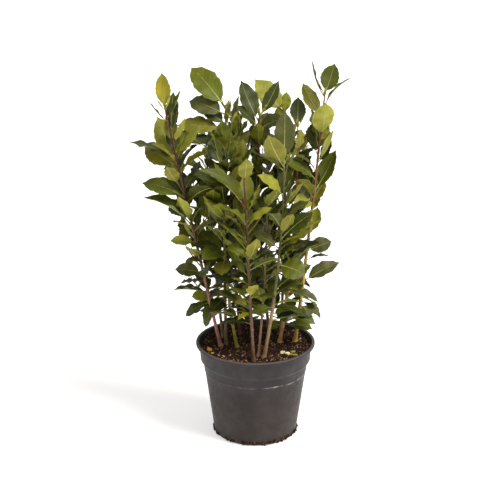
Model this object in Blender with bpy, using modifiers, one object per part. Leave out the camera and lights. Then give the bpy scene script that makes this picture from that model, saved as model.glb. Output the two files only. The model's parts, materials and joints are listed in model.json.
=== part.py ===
"""Potted bay laurel: twelve thin stems rise from a pot of compost, and each carries a leafy shoot.

Metres, +Z up. The origin is the centre of the pot's flat underside. The plant is looked at
from -Y, and the stems are numbered from left to right as they are seen from there.
"""

import math
import random
from typing import NamedTuple

import bmesh
import bpy
from mathutils import Matrix, Vector
from mathutils.bvhtree import BVHTree

MM = 0.001
CLEARANCE = 0.3 * MM
OBJECT_NAME = "potted_bay_laurel"

# Pot, as radii and as depths below the top of its lip
POT_HEIGHT = 106 * MM
POT_WALL = 1.2 * MM
POT_FLOOR = 1.6 * MM
POT_SIDES = 40
LIP_RADIUS = 65.0 * MM
LIP_INNER_RADIUS = 61.4 * MM
LIP_ROUND = 1.2 * MM
LIP_DEPTH = 3.2 * MM
COLLAR_TOP_RADIUS = 61.0 * MM
COLLAR_FOOT_RADIUS = 60.1 * MM
COLLAR_DEPTH = 19 * MM
STEP_RADIUS = 56.9 * MM
STEP_DEPTH = 24 * MM
LEDGE_RADIUS = 55.7 * MM
LEDGE_DEPTH = 32.5 * MM
LEDGE_HEIGHT = 0.8 * MM
WALL_TOP_RADIUS = 55.3 * MM
WALL_FOOT_RADIUS = 45.5 * MM
POT_FOOT_ROUND = 3.6 * MM
DRAIN_HOLES = 8
DRAIN_RADIUS = 3.5 * MM
DRAIN_RING = 33 * MM
DRAIN_SIDES = 12

# Compost
COMPOST_TOP = POT_HEIGHT - 6.5 * MM
COMPOST_SWELL = 1.2 * MM
COMPOST_WAVES = (70, 55, 130)
COMPOST_RINGS = 5

# Stems and shoots
FLARE_HEIGHT = 4 * MM
FLARE = 0.75
FOOT_CROWDING = 1.6
STEM_POINTS = 6
SHOOT_POINTS = 8
SHOOT_TIP_RADIUS = 0.8 * MM

# Leaves, as shares of their own length or width
PETIOLE_SHARE = 0.16
PETIOLE_RADIUS = 0.75 * MM
BLADE_STATIONS = ((0.42, 0.96), (0.74, 0.80))
BLADE_THICKNESS = 0.9 * MM
BLADE_FOLD = 0.22
ARCH_LEVEL = 0.09
ARCH_STEEP = -0.07
LEAF_CLEARANCE = 0.9 * MM

# Growth
SPIRAL = 137.5
INTERNODE_LOW = 9.8 * MM
INTERNODE_TOP = 11.3 * MM
SPIRAL_SPREAD = 18
LOW_RISE = -14
TIP_RISE = 58
RISE_SPREAD = (-14, 16)
LENGTH_SPREAD = (0.82, 1.12)
WIDTH_SPREAD = (0.9, 1.12)
TURN_SPREAD = 38
LEAF_LENGTH = 50 * MM
TIP_LEAF_LENGTH = 30 * MM
LEAF_SHAPE = 0.45
TWIG_EVERY = 4
TWIG_LENGTH = 30 * MM
TWIG_RADIUS = 0.95 * MM
TWIG_SPREAD = (0.8, 1.25)
TWIG_LEAVES = (0.45, 0.75, 1.0)
TWIG_LEAF_SIZE = 0.78
TWIGS_UP_TO = 0.8
FRONT = (215, 325)
FRONT_TOLD_BY = 6
BARE_TIP = 3 * MM
SHOWN_TIP = 20 * MM
CROSSING = 24 * MM
RE_AIMS = ((0, 0), (24, 8), (-24, -8), (48, 0), (-48, 14), (75, -12), (-75, 6), (110, 0))

# The crown's outline, a level ellipse that widens and shifts from its foot up to its broadest level
CROWN_FOOT = 140 * MM
CROWN_BROAD = 320 * MM
CROWN_CENTRE_X = (2 * MM, -20 * MM)
CROWN_CENTRE_Y = 8 * MM
CROWN_HALF_X = (70 * MM, 102 * MM)
CROWN_HALF_Y = (64 * MM, 92 * MM)


class Leaf(NamedTuple):
    """A leaf: its height on the shoot, heading from +X, rise, length, width and turn (mm and degrees)."""

    height: float
    heading: float
    rise: float
    length: float
    width: float
    turn: float = 0


class Shoot(NamedTuple):
    """A stem with its leafy shoot: foot, tip and how far its middle bends aside (mm), and its leaves in view."""

    foot: tuple
    tip: tuple
    bend: tuple
    radius: float
    seed: int
    shown: tuple
    leafy_from: float = 138


SHOOTS = (
    Shoot(
        foot=(-38, -2),
        tip=(-94, -6, 368),
        bend=(0, 0),
        radius=1.9,
        seed=11,
        shown=(
            Leaf(366, 102, 62, 40, 17, -20),
            Leaf(340, 76, 74, 44, 15, 30),
            Leaf(357, 12, 64, 33, 12),
            Leaf(353, 184, 50, 30, 12),
            Leaf(309, 128, 50, 56, 25, -25),
            Leaf(302, 150, 23, 47, 26, -40),
            Leaf(310, 172, 20, 56, 22),
            Leaf(270, 168, 16, 50, 23, -30),
            Leaf(238, 184, 33, 62, 20),
            Leaf(243, 232, 60, 40, 20),
            Leaf(221, 184, 4, 28, 12, -50),
            Leaf(186, 182, 8, 31, 17, -45),
            Leaf(176, 205, 4, 30, 14),
            Leaf(163, 178, 4, 38, 14),
            Leaf(157, 205, 12, 20, 16, -30),
            Leaf(152, 192, -28, 31, 13, -30),
            Leaf(144, 232, -60, 21, 11),
        ),
    ),
    Shoot(
        foot=(-36, 26),
        tip=(-54, 62, 316),
        bend=(-2, 4),
        radius=1.7,
        seed=12,
        shown=(Leaf(308, 170, 26, 34, 19, -30),),
    ),
    Shoot(
        foot=(-32, 4),
        tip=(-31, 24, 362),
        bend=(-2, 2),
        radius=1.8,
        seed=13,
        shown=(
            Leaf(359, 140, 38, 62, 28, -35),
            Leaf(353, 162, 16, 43, 24, -42),
            Leaf(337, 178, 5, 52, 21, -42),
            Leaf(343, 150, 26, 30, 17, -40),
        ),
    ),
    Shoot(
        foot=(-20, -2),
        tip=(-24, -8, 356),
        bend=(-11, -4),
        radius=1.7,
        seed=14,
        shown=(
            Leaf(352, 38, 72, 30, 10),
            Leaf(302, 110, 74, 54, 23),
            Leaf(203, 262, -22, 26, 20, 10),
            Leaf(288, 200, 20, 38, 20, -30),
        ),
    ),
    Shoot(
        foot=(-17, 32),
        tip=(-15, 50, 344),
        bend=(-6, -8),
        radius=1.5,
        seed=15,
        shown=(Leaf(286, 112, 66, 56, 26, -15),),
    ),
    Shoot(
        foot=(-2, -40),
        tip=(-12, -44, 303),
        bend=(0, -2),
        radius=1.7,
        seed=16,
        shown=(
            Leaf(301, 282, 66, 30, 16),
            Leaf(270, 192, 43, 68, 15, -20),
            Leaf(250, 350, 42, 36, 10, 20),
            Leaf(215, 302, 60, 33, 17),
            Leaf(196, 165, 50, 38, 9, -30),
            Leaf(172, 285, 48, 30, 13),
            Leaf(164, 176, 40, 36, 8),
            Leaf(156, 208, -20, 17, 12),
        ),
    ),
    Shoot(
        foot=(3, -28),
        tip=(12, -24, 268),
        bend=(2, 3),
        radius=1.3,
        seed=17,
        shown=(Leaf(158, 248, 60, 30, 17),),
    ),
    Shoot(
        foot=(16, 32),
        tip=(4, 32, 352),
        bend=(-5, 3),
        radius=1.8,
        seed=18,
        shown=(
            Leaf(348, 42, 52, 46, 15, 20),
            Leaf(343, 140, 59, 49, 22, -20),
            Leaf(336, 186, 43, 38, 21, -30),
            Leaf(334, 12, 22, 32, 22, 30),
        ),
    ),
    Shoot(
        foot=(9, -32),
        tip=(29, -36, 318),
        bend=(5, 0),
        radius=2.0,
        seed=19,
        shown=(
            Leaf(316, 87, 68, 56, 22),
            Leaf(313, 220, 60, 44, 23, 35),
            Leaf(309, 186, 34, 33, 11, -20),
            Leaf(228, 342, 30, 24, 9),
            Leaf(206, 334, -12, 32, 26, 38),
            Leaf(158, 214, -4, 28, 13, -25),
        ),
    ),
    Shoot(
        foot=(28, 34),
        tip=(31, 62, 346),
        bend=(3, 4),
        radius=1.7,
        seed=20,
        shown=(
            Leaf(345, 150, 43, 50, 27, -40),
            Leaf(345, 80, 74, 24, 12),
        ),
    ),
    Shoot(
        foot=(27, 7),
        tip=(44, 8, 346),
        bend=(5, -2),
        radius=2.0,
        seed=21,
        shown=(
            Leaf(344, 88, 62, 33, 17),
            Leaf(150, 262, -34, 28, 19, 10),
            Leaf(160, 346, -14, 36, 15, 20),
            Leaf(122, 190, -8, 19, 10, -30),
        ),
        leafy_from=116,
    ),
    Shoot(
        foot=(44, 14),
        tip=(72, 10, 380),
        bend=(1, 0),
        radius=2.0,
        seed=22,
        shown=(
            Leaf(378, 52, 60, 35, 20, 30),
            Leaf(376, 176, 71, 41, 12),
            Leaf(363, 4, 48, 45, 9),
            Leaf(355, 150, 54, 41, 20, -25),
            Leaf(333, 294, 74, 41, 25),
            Leaf(315, 90, 46, 39, 27),
            Leaf(272, 36, 55, 51, 20, 30),
            Leaf(294, 190, 39, 37, 11, -15),
            Leaf(260, 204, 8, 28, 20, -30),
            Leaf(250, 18, 50, 25, 11),
            Leaf(223, 62, 50, 34, 19),
            Leaf(205, 8, 20, 29, 18, 50),
            Leaf(194, 350, 14, 27, 13),
            Leaf(170, 14, 24, 45, 17, 40),
            Leaf(148, 330, -34, 30, 14),
        ),
    ),
)


class Limb(NamedTuple):
    """The middle line of a stem, a shoot or a twig, and its radius at both ends."""

    start: Vector
    control: Vector
    end: Vector
    start_radius: float
    end_radius: float

    def at(self, share):
        rest = 1 - share
        return self.start * rest**2 + self.control * 2 * share * rest + self.end * share**2

    def radius(self, share):
        return self.start_radius + (self.end_radius - self.start_radius) * share

    def part(self, share):
        """The rest of the limb, from this share of its length on."""
        control = self.control.lerp(self.end, share)
        return self._replace(start=self.at(share), control=control, start_radius=self.radius(share))


def blend(low, high, share):
    return low + (high - low) * share


# Compost surface and the stems' middle lines


def compost_height(x, y):
    """The compost's top, which swells gently towards the stems."""
    along, deep, slanting = COMPOST_WAVES
    swell = math.sin(x * along + 0.6) * math.cos(y * deep - 0.4) + 0.5 * math.sin((x - y) * slanting)
    return COMPOST_TOP + COMPOST_SWELL * swell


def foot_height(x, y, radius):
    """The highest compost under a round foot, so that its flat cut clears it all round."""
    around = [math.radians(angle) for angle in range(0, 360, 30)]
    ring = [compost_height(x + radius * math.cos(a), y + radius * math.sin(a)) for a in around]
    return max(ring + [compost_height(x, y)]) + CLEARANCE


def shoot_line(shoot):
    """The whole middle line of one stem and its shoot, from the compost to the growing tip."""
    radius = shoot.radius * MM
    x, y = shoot.foot[0] * MM, shoot.foot[1] * MM
    foot = Vector((x, y, foot_height(x, y, radius * (1 + FLARE))))
    tip = Vector(shoot.tip) * MM
    bend = Vector((shoot.bend[0], shoot.bend[1], 0)) * MM
    return Limb(foot, (foot + tip) / 2 + bend * 2, tip, radius, SHOOT_TIP_RADIUS)


def share_at_height(line, height):
    return (height - line.start.z) / (line.end.z - line.start.z)


# Leaf shape


def leaf_axes(leaf):
    """The leaf's own directions: along it, across it, and out of its upper face."""
    heading, rise = math.radians(leaf.heading), math.radians(leaf.rise)
    along = Vector(
        (math.cos(rise) * math.cos(heading), math.cos(rise) * math.sin(heading), math.sin(rise))
    )
    across = Vector((-math.sin(heading), math.cos(heading), 0))
    face = along.cross(across)
    turn = Matrix.Rotation(math.radians(leaf.turn), 3, along)
    return along, turn @ across, turn @ face


def leaf_sections(leaf, root, spare=0.0, from_share=0.0):
    """Four-cornered sections along the leaf and its tip. Spare fattens it, for a clearance test."""
    along, across, face = leaf_axes(leaf)
    length, half_width = leaf.length * MM, leaf.width * MM / 2
    steepness = min(1.0, max(0.0, (leaf.rise - 35) / 30))
    arch = blend(ARCH_LEVEL, ARCH_STEEP, steepness) * length

    def middle(share):
        return root + along * length * share + face * arch * 4 * share * (1 - share)

    def section(share, half, thickness, fold):
        centre = middle(share)
        lift = face * half * fold
        side = across * (half + spare)
        return [
            centre - side + lift,
            centre - face * (thickness / 2 + spare),
            centre + side + lift,
            centre + face * (thickness / 2 + spare),
        ]

    rings = [
        section(from_share, PETIOLE_RADIUS, PETIOLE_RADIUS * 1.4, 0),
        section(PETIOLE_SHARE, PETIOLE_RADIUS, PETIOLE_RADIUS * 1.4, 0),
    ]
    for share, breadth in BLADE_STATIONS:
        rings.append(section(share, half_width * breadth, BLADE_THICKNESS, BLADE_FOLD))
    if from_share:
        rings.pop(0)
    return rings, middle(1) + along * spare


def leaf_mesh(rings, tip):
    """A closed loft through the sections to the pointed tip."""
    verts = [corner for ring in rings for corner in ring] + [tip]
    sides = len(rings[0])
    faces = [tuple(range(sides))]
    for start in range(0, (len(rings) - 1) * sides, sides):
        for k in range(sides):
            after = (k + 1) % sides
            faces.append((start + k, start + sides + k, start + sides + after, start + after))
    last = (len(rings) - 1) * sides
    faces += [(last + k, len(verts) - 1, last + (k + 1) % sides) for k in range(sides)]
    return verts, faces


def tube_mesh(line, spare=0.0, steps=8, sides=6):
    """A plain tube round a limb's middle line, for clearance tests."""
    verts = []
    for step in range(steps + 1):
        share = step / steps
        centre, radius = line.at(share), line.radius(share) + spare
        for k in range(sides):
            angle = 2 * math.pi * k / sides
            verts.append(centre + Vector((math.cos(angle), math.sin(angle), 0)) * radius)
    faces = []
    for start in range(0, steps * sides, sides):
        for k in range(sides):
            after = (k + 1) % sides
            faces.append((start + k, start + after, start + sides + after, start + sides + k))
    return verts, faces


# Growth


class Solid:
    """A shape that later leaves must stay clear of, with its box for a quick first test."""

    def __init__(self, verts, faces, owner=None):
        self.owner = owner
        self.tree = BVHTree.FromPolygons(verts, faces)
        self.low = [min(v[k] for v in verts) for k in range(3)]
        self.high = [max(v[k] for v in verts) for k in range(3)]

    def meets(self, other):
        for k in range(3):
            if self.low[k] > other.high[k] or other.low[k] > self.high[k]:
                return False
        return bool(self.tree.overlap(other.tree))


class Plant:
    """Everything grown so far: the middle lines, and each shoot's twigs and leaves."""

    def __init__(self):
        self.lines = [shoot_line(shoot) for shoot in SHOOTS]
        self.limbs = [Solid(*tube_mesh(line), k) for k, line in enumerate(self.lines)]
        self.blades = []
        self.whole_leaves = []
        self.twigs = [[] for _ in SHOOTS]
        self.leaves = [[] for _ in SHOOTS]

    def axis_distance(self, number, point):
        """How far a point lies, level, from the middle line of one shoot."""
        line = self.lines[number]
        share = min(1.0, max(0.0, share_at_height(line, point.z)))
        return (point - line.at(share)).to_2d().length

    def in_space(self, number, points):
        """Whether the points stay in the crown and in this shoot's own part of it."""
        if not all(in_crown(point) for point in points):
            return False
        end = points[-1]
        nearest = min(self.axis_distance(k, end) for k in range(len(SHOOTS)))
        if self.axis_distance(number, end) - nearest > CROSSING:
            return False
        return all(clear_of_pot(point) for point in points)

    def is_clear(self, number, outer, whole):
        """Whether a leaf or twig misses every other shoot, and its outer part its own shoot too."""
        if any(outer.meets(other) for other in self.limbs + self.blades if other.owner == number):
            return False
        others = self.limbs + self.whole_leaves
        return not any(whole.meets(other) for other in others if other.owner != number)

    def add_leaf(self, number, leaf, root, given):
        """Adds the leaf where it fits, re-aimed a little where it must be, or skips it."""
        for heading, rise in RE_AIMS:
            if given:
                heading, rise = heading / 3, rise / 3
            aimed = leaf._replace(heading=leaf.heading + heading, rise=leaf.rise + rise)
            rings, tip = leaf_sections(aimed, root, LEAF_CLEARANCE, PETIOLE_SHARE)
            points = [corner for ring in rings for corner in ring] + [tip]
            if not given and not self.in_space(number, points):
                continue
            whole = Solid(*leaf_mesh(*leaf_sections(aimed, root, LEAF_CLEARANCE)))
            if not self.is_clear(number, Solid(*leaf_mesh(rings, tip)), whole):
                continue
            blade = leaf_mesh(*leaf_sections(aimed, root, 0, PETIOLE_SHARE))
            self.blades.append(Solid(*blade, number))
            self.whole_leaves.append(Solid(*leaf_mesh(*leaf_sections(aimed, root)), number))
            self.leaves[number].append((aimed, root))
            return


def in_crown(point):
    """Whether a point is inside the crown's outline at its height."""
    share = min(1.0, max(0.0, (point.z - CROWN_FOOT) / (CROWN_BROAD - CROWN_FOOT)))
    across = (point.x - blend(*CROWN_CENTRE_X, share)) / blend(*CROWN_HALF_X, share)
    deep = (point.y - CROWN_CENTRE_Y) / blend(*CROWN_HALF_Y, share)
    return across**2 + deep**2 < 1


def clear_of_pot(point):
    """Low leaves stay inside the lip and above the compost."""
    if point.z > POT_HEIGHT + 3 * MM:
        return True
    inside = point.to_2d().length < LIP_INNER_RADIUS - 6 * MM
    return inside and point.z > COMPOST_TOP + 5 * MM


def ruled_leaf(rng, height, heading, share):
    """The leaf that the growth rule gives at this share of the way up a shoot."""
    length = blend(LEAF_LENGTH, TIP_LEAF_LENGTH, share**3) * rng.uniform(*LENGTH_SPREAD)
    length *= blend(0.8, 1.0, min(1.0, share * 4))
    rise = blend(LOW_RISE, TIP_RISE, share**0.7) + rng.uniform(*RISE_SPREAD)
    width = length * LEAF_SHAPE * rng.uniform(*WIDTH_SPREAD)
    turn = rng.uniform(-TURN_SPREAD, TURN_SPREAD)
    return Leaf(height / MM, heading, rise, length / MM, width / MM, turn)


def grow_twig(plant, number, rng, leaf, root):
    """A short side twig with a few leaves, or nothing where it would not fit."""
    aim = leaf._replace(rise=min(70, leaf.rise + 26), turn=0)
    along, _, face = leaf_axes(aim)
    length = TWIG_LENGTH * rng.uniform(*TWIG_SPREAD)
    end = root + along * length
    twig = Limb(root, root + along * length / 2 - face * 2 * MM, end, TWIG_RADIUS, TWIG_RADIUS / 2)
    outer = Solid(*tube_mesh(twig.part(0.2), LEAF_CLEARANCE, 3, 4), number)
    whole = Solid(*tube_mesh(twig, LEAF_CLEARANCE, 3, 4), number)
    fits = plant.in_space(number, [twig.at(0.5), end])
    if not fits or not plant.is_clear(number, outer, whole):
        return False
    plant.blades.append(outer)
    plant.whole_leaves.append(whole)
    plant.twigs[number].append(twig)
    heading = leaf.heading + 70
    for share in TWIG_LEAVES:
        small = leaf._replace(
            heading=leaf.heading if share == 1 else heading,
            rise=min(66, leaf.rise + 18),
            length=leaf.length * TWIG_LEAF_SIZE,
            width=leaf.width * TWIG_LEAF_SIZE,
            turn=rng.uniform(-TURN_SPREAD, TURN_SPREAD),
        )
        plant.add_leaf(number, small, twig.at(share * 0.97), False)
        heading -= 150
    return True


def grow():
    """The plant: the leaves in view first, then the rule's own leaves and twigs round every shoot."""
    plant = Plant()
    for number, shoot in enumerate(SHOOTS):
        line = plant.lines[number]
        for leaf in shoot.shown:
            root = line.at(min(0.995, share_at_height(line, leaf.height * MM)))
            plant.add_leaf(number, leaf, root, True)
    for number, shoot in enumerate(SHOOTS):
        grow_by_rule(plant, number, shoot)
    return plant


def off_the_front(shoot, heading):
    """Turns a ruled leaf to the back on a shoot whose front is already told leaf by leaf."""
    towards_front = FRONT[0] < heading % 360 < FRONT[1]
    return heading + 180 if towards_front and len(shoot.shown) >= FRONT_TOLD_BY else heading


def grow_by_rule(plant, number, shoot):
    """One shoot's ruled leaves and twigs, set spirally from its foot up to its tip."""
    rng = random.Random(shoot.seed)
    line = plant.lines[number]
    shown_to = max(leaf.height for leaf in shoot.shown) * MM
    bare = SHOWN_TIP if shown_to > line.end.z - SHOWN_TIP else BARE_TIP
    low, high = (shoot.leafy_from + 4) * MM, line.end.z - bare
    height, heading, node = low, rng.uniform(0, 360), 0
    while height < high:
        share = (height - low) / (high - low)
        root = line.at(share_at_height(line, height))
        leaf = ruled_leaf(rng, height, off_the_front(shoot, heading), share)
        branches = node % TWIG_EVERY == 1 and share < TWIGS_UP_TO
        if not (branches and grow_twig(plant, number, rng, leaf, root)):
            plant.add_leaf(number, leaf, root, False)
        heading += SPIRAL + rng.uniform(-SPIRAL_SPREAD, SPIRAL_SPREAD)
        height += blend(INTERNODE_LOW, INTERNODE_TOP, share)
        node += 1


# Blender helpers


def clear_scene():
    for obj in list(bpy.data.objects):
        bpy.data.objects.remove(obj)


def new_collection(name):
    collection = bpy.data.collections.new(name)
    bpy.context.scene.collection.children.link(collection)
    return collection


def new_object(name, data, collection):
    obj = bpy.data.objects.new(name, data)
    collection.objects.link(obj)
    return obj


def principled(name, colour, roughness):
    material = bpy.data.materials.new(name)
    material.use_nodes = True
    shader = material.node_tree.nodes["Principled BSDF"]
    shader.inputs["Base Color"].default_value = (*colour, 1)
    shader.inputs["Roughness"].default_value = roughness
    shader.inputs["Metallic"].default_value = 0
    material.diffuse_color = (*colour, 1)
    return material


def mesh_object(name, verts, faces, collection):
    mesh = bpy.data.meshes.new(name)
    mesh.from_pydata(verts, [], faces)
    return new_object(name, mesh, collection)


def evaluated_mesh(obj):
    graph = bpy.context.evaluated_depsgraph_get()
    return bpy.data.meshes.new_from_object(obj.evaluated_get(graph), depsgraph=graph)


def tube(name, points, radii, collection, resolution=1):
    """A curve with round sections of the given radii and filled ends."""
    curve = bpy.data.curves.new(name, "CURVE")
    curve.dimensions = "3D"
    curve.bevel_depth = 1.0
    curve.bevel_resolution = resolution
    curve.use_fill_caps = True
    spline = curve.splines.new("POLY")
    spline.points.add(len(points) - 1)
    for target, point, radius in zip(spline.points, points, radii):
        target.co = (*point, 1)
        target.radius = radius
    return new_object(name, curve, collection)


def closed_tube(name, points, radii, collection, resolution=1):
    """The same tube as a mesh with its end caps welded on, ready to be joined."""
    curve = tube(name, points, radii, collection, resolution)
    mesh = evaluated_mesh(curve)
    bpy.data.objects.remove(curve)
    work = bmesh.new()
    work.from_mesh(mesh)
    bmesh.ops.remove_doubles(work, verts=work.verts, dist=0.01 * MM)
    bmesh.ops.recalc_face_normals(work, faces=work.faces)
    work.to_mesh(mesh)
    work.free()
    return new_object(name, mesh, collection)


def turned(name, profile, collection):
    """A profile of (radius, height) turned round Z."""
    points = [(radius, 0, height) for radius, height in profile]
    edges = [(k, k + 1) for k in range(len(points) - 1)]
    mesh = bpy.data.meshes.new(name)
    mesh.from_pydata(points, edges, [])
    obj = new_object(name, mesh, collection)
    screw = obj.modifiers.new("turn", "SCREW")
    screw.axis = "Z"
    screw.steps = POT_SIDES
    screw.render_steps = POT_SIDES
    screw.use_merge_vertices = True
    screw.merge_threshold = 0.05 * MM
    return obj


def place_by(obj, point):
    """Moves the mesh so that its object's origin is the given point."""
    obj.data.transform(Matrix.Translation(-point))
    obj.location = point


# Pot


def pot_outside():
    """The outer side of the pot's wall, top to bottom, as (radius, depth)."""
    return [
        (LIP_RADIUS - LIP_ROUND, 0),
        (LIP_RADIUS - 0.3 * LIP_ROUND, 0.3 * LIP_ROUND),
        (LIP_RADIUS, LIP_ROUND),
        (LIP_RADIUS, LIP_DEPTH - LIP_ROUND),
        (LIP_RADIUS - LIP_ROUND, LIP_DEPTH),
        (COLLAR_TOP_RADIUS, LIP_DEPTH + 2 * MM),
        (COLLAR_FOOT_RADIUS, COLLAR_DEPTH),
        (STEP_RADIUS, STEP_DEPTH),
        (LEDGE_RADIUS, LEDGE_DEPTH),
        (WALL_TOP_RADIUS, LEDGE_DEPTH + LEDGE_HEIGHT),
        (WALL_FOOT_RADIUS, POT_HEIGHT - POT_FOOT_ROUND),
        (WALL_FOOT_RADIUS - 0.3 * POT_FOOT_ROUND, POT_HEIGHT - 0.3 * POT_FOOT_ROUND),
        (WALL_FOOT_RADIUS - POT_FOOT_ROUND, POT_HEIGHT),
    ]


def pot_inside():
    """The inner side of the same wall, bottom to top."""
    floor_depth = POT_HEIGHT - POT_FLOOR
    return [
        (WALL_FOOT_RADIUS - POT_FOOT_ROUND, floor_depth),
        (WALL_FOOT_RADIUS - POT_WALL, POT_HEIGHT - POT_FOOT_ROUND - POT_WALL),
        (WALL_TOP_RADIUS - POT_WALL, LEDGE_DEPTH + LEDGE_HEIGHT),
        (LEDGE_RADIUS - POT_WALL, LEDGE_DEPTH),
        (STEP_RADIUS - POT_WALL, STEP_DEPTH + POT_WALL / 2),
        (COLLAR_FOOT_RADIUS - POT_WALL, COLLAR_DEPTH),
        (COLLAR_TOP_RADIUS - POT_WALL, LIP_DEPTH + 2 * MM),
        (LIP_INNER_RADIUS, LIP_ROUND),
        (LIP_INNER_RADIUS + 0.6 * MM, 0),
    ]


def make_pot(parts, cutters):
    """The pot, turned in one piece and then cut through its floor by a ring of drain holes."""
    profile = [(0, POT_FLOOR)]
    profile += [(radius, POT_HEIGHT - depth) for radius, depth in pot_inside() + pot_outside()]
    profile.append((0, 0))
    pot = turned("pot", profile, parts)
    for k in range(DRAIN_HOLES):
        angle = 2 * math.pi * (k + 0.5) / DRAIN_HOLES
        work = bmesh.new()
        bmesh.ops.create_cone(
            work,
            cap_ends=True,
            segments=DRAIN_SIDES,
            radius1=DRAIN_RADIUS,
            radius2=DRAIN_RADIUS,
            depth=6 * POT_FLOOR,
        )
        mesh = bpy.data.meshes.new("drain_cutter")
        work.to_mesh(mesh)
        work.free()
        cutter = new_object("drain_cutter", mesh, cutters)
        cutter.location = (DRAIN_RING * math.cos(angle), DRAIN_RING * math.sin(angle), 0)
        cutter.hide_render = True
        cutter.display_type = "WIRE"
    drain = pot.modifiers.new("drain", "BOOLEAN")
    drain.operand_type = "COLLECTION"
    drain.collection = cutters
    pot.data.materials.append(principled("pot plastic", (0.035, 0.031, 0.029), 0.55))
    return pot


def make_compost(parts):
    """The compost that fills the pot, a little clear of its wall, with an uneven top."""
    sides_up_to = COMPOST_TOP - 2 * COMPOST_SWELL
    wall = [point for point in pot_inside() if POT_HEIGHT - point[1] < sides_up_to]
    sides = [(radius - CLEARANCE, POT_HEIGHT - depth) for radius, depth in wall]
    sides[0] = (sides[0][0], sides[0][1] + CLEARANCE)
    collar_rise = COLLAR_DEPTH - LIP_DEPTH - 2 * MM
    share = min(1, (COMPOST_TOP - sides[-1][1]) / collar_rise)
    edge = blend(sides[-1][0], COLLAR_TOP_RADIUS - POT_WALL - CLEARANCE, share)
    top = [(edge * k / COMPOST_RINGS, COMPOST_TOP) for k in range(COMPOST_RINGS + 1)]
    profile = top + sides[::-1] + [(0, sides[0][1])]
    obj = turned("compost_turned", profile, parts)
    mesh = evaluated_mesh(obj)
    bpy.data.objects.remove(obj)
    for vert in mesh.vertices:
        if vert.co.z > COMPOST_TOP - 0.01 * MM:
            level = compost_height(vert.co.x, vert.co.y)
            radius = vert.co.to_2d().length
            vert.co.z = level if radius < edge * 0.99 else min(level, COMPOST_TOP)
    compost = new_object("compost", mesh, parts)
    compost.data.materials.append(principled("compost", (0.045, 0.026, 0.017), 0.95))
    return compost


# Stems and leafy shoots


def make_stem(number, shoot, line, parts):
    """The bare lower stem: a flared foot with a level cut, up to where its leafy shoot starts."""
    top = share_at_height(line, shoot.leafy_from * MM)
    points, radii = [line.start], [line.start_radius * (1 + FLARE)]
    for step in range(1, STEM_POINTS):
        share = top * (step / (STEM_POINTS - 1)) ** FOOT_CROWDING
        point = line.at(share)
        flare = FLARE * math.exp(-(point.z - line.start.z) / FLARE_HEIGHT)
        points.append(point)
        radii.append(line.radius(share) * (1 + flare))
    points[1].xy = points[0].xy
    stem = tube(f"stem_{number:02d}", [p - line.start for p in points], radii, parts)
    stem.location = line.start
    stem.data.materials.append(principled(f"bark {number:02d}", (0.13, 0.07, 0.04), 0.6))
    return stem


def make_shoot(number, shoot, line, twigs, leaves, parts):
    """One mass of leaves: the shoot's own axis, its side twigs and its leaves, joined in one union."""
    pieces = new_collection(f"pieces_{number:02d}")
    start = share_at_height(line, shoot.leafy_from * MM + CLEARANCE)
    shares = [blend(start, 1, k / (SHOOT_POINTS - 1)) for k in range(SHOOT_POINTS)]
    name = f"leaves_{number:02d}"
    points, radii = [line.at(s) for s in shares], [line.radius(s) for s in shares]
    axis = closed_tube(name, points, radii, parts)
    for twig in twigs:
        ends = [twig.at(share) for share in (0, 0.5, 1)]
        widths = [twig.radius(share) for share in (0, 0.5, 1)]
        closed_tube("twig", ends, widths, pieces, resolution=0)
    for leaf, root in leaves:
        mesh_object("leaf", *leaf_mesh(*leaf_sections(leaf, root)), pieces)
    union = axis.modifiers.new("union", "BOOLEAN")
    union.operation = "UNION"
    union.operand_type = "COLLECTION"
    union.collection = pieces
    joined = evaluated_mesh(axis)
    axis.modifiers.clear()
    axis.data = joined
    for piece in list(pieces.objects):
        bpy.data.objects.remove(piece)
    bpy.data.collections.remove(pieces)
    place_by(axis, points[0])
    axis.data.materials.clear()
    axis.data.materials.append(principled(f"leaf green {number:02d}", (0.06, 0.11, 0.02), 0.4))
    return axis


def main():
    clear_scene()
    parts = new_collection(OBJECT_NAME)
    cutters = new_collection("cutters")
    whole = new_object(OBJECT_NAME, None, parts)
    made = [make_pot(parts, cutters), make_compost(parts)]
    plant = grow()
    for number, shoot in enumerate(SHOOTS):
        line = plant.lines[number]
        made.append(make_stem(number + 1, shoot, line, parts))
        twigs, leaves = plant.twigs[number], plant.leaves[number]
        made.append(make_shoot(number + 1, shoot, line, twigs, leaves, parts))
    for obj in made:
        obj.parent = whole


main()
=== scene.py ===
"""Potted bay laurel, dressed: pot, compost, bark, leaves and a pale studio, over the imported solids.

Metres, +Z up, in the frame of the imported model. The plant is looked at from -Y, and its stems
are numbered from left to right as they are seen from there.
"""

import json
import math
import random
from functools import lru_cache
from typing import NamedTuple

import bmesh
import bpy
from bpy.props import FloatProperty, FloatVectorProperty, IntProperty, PointerProperty
from mathutils import Matrix, Vector, noise
from mathutils.bvhtree import BVHTree

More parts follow.
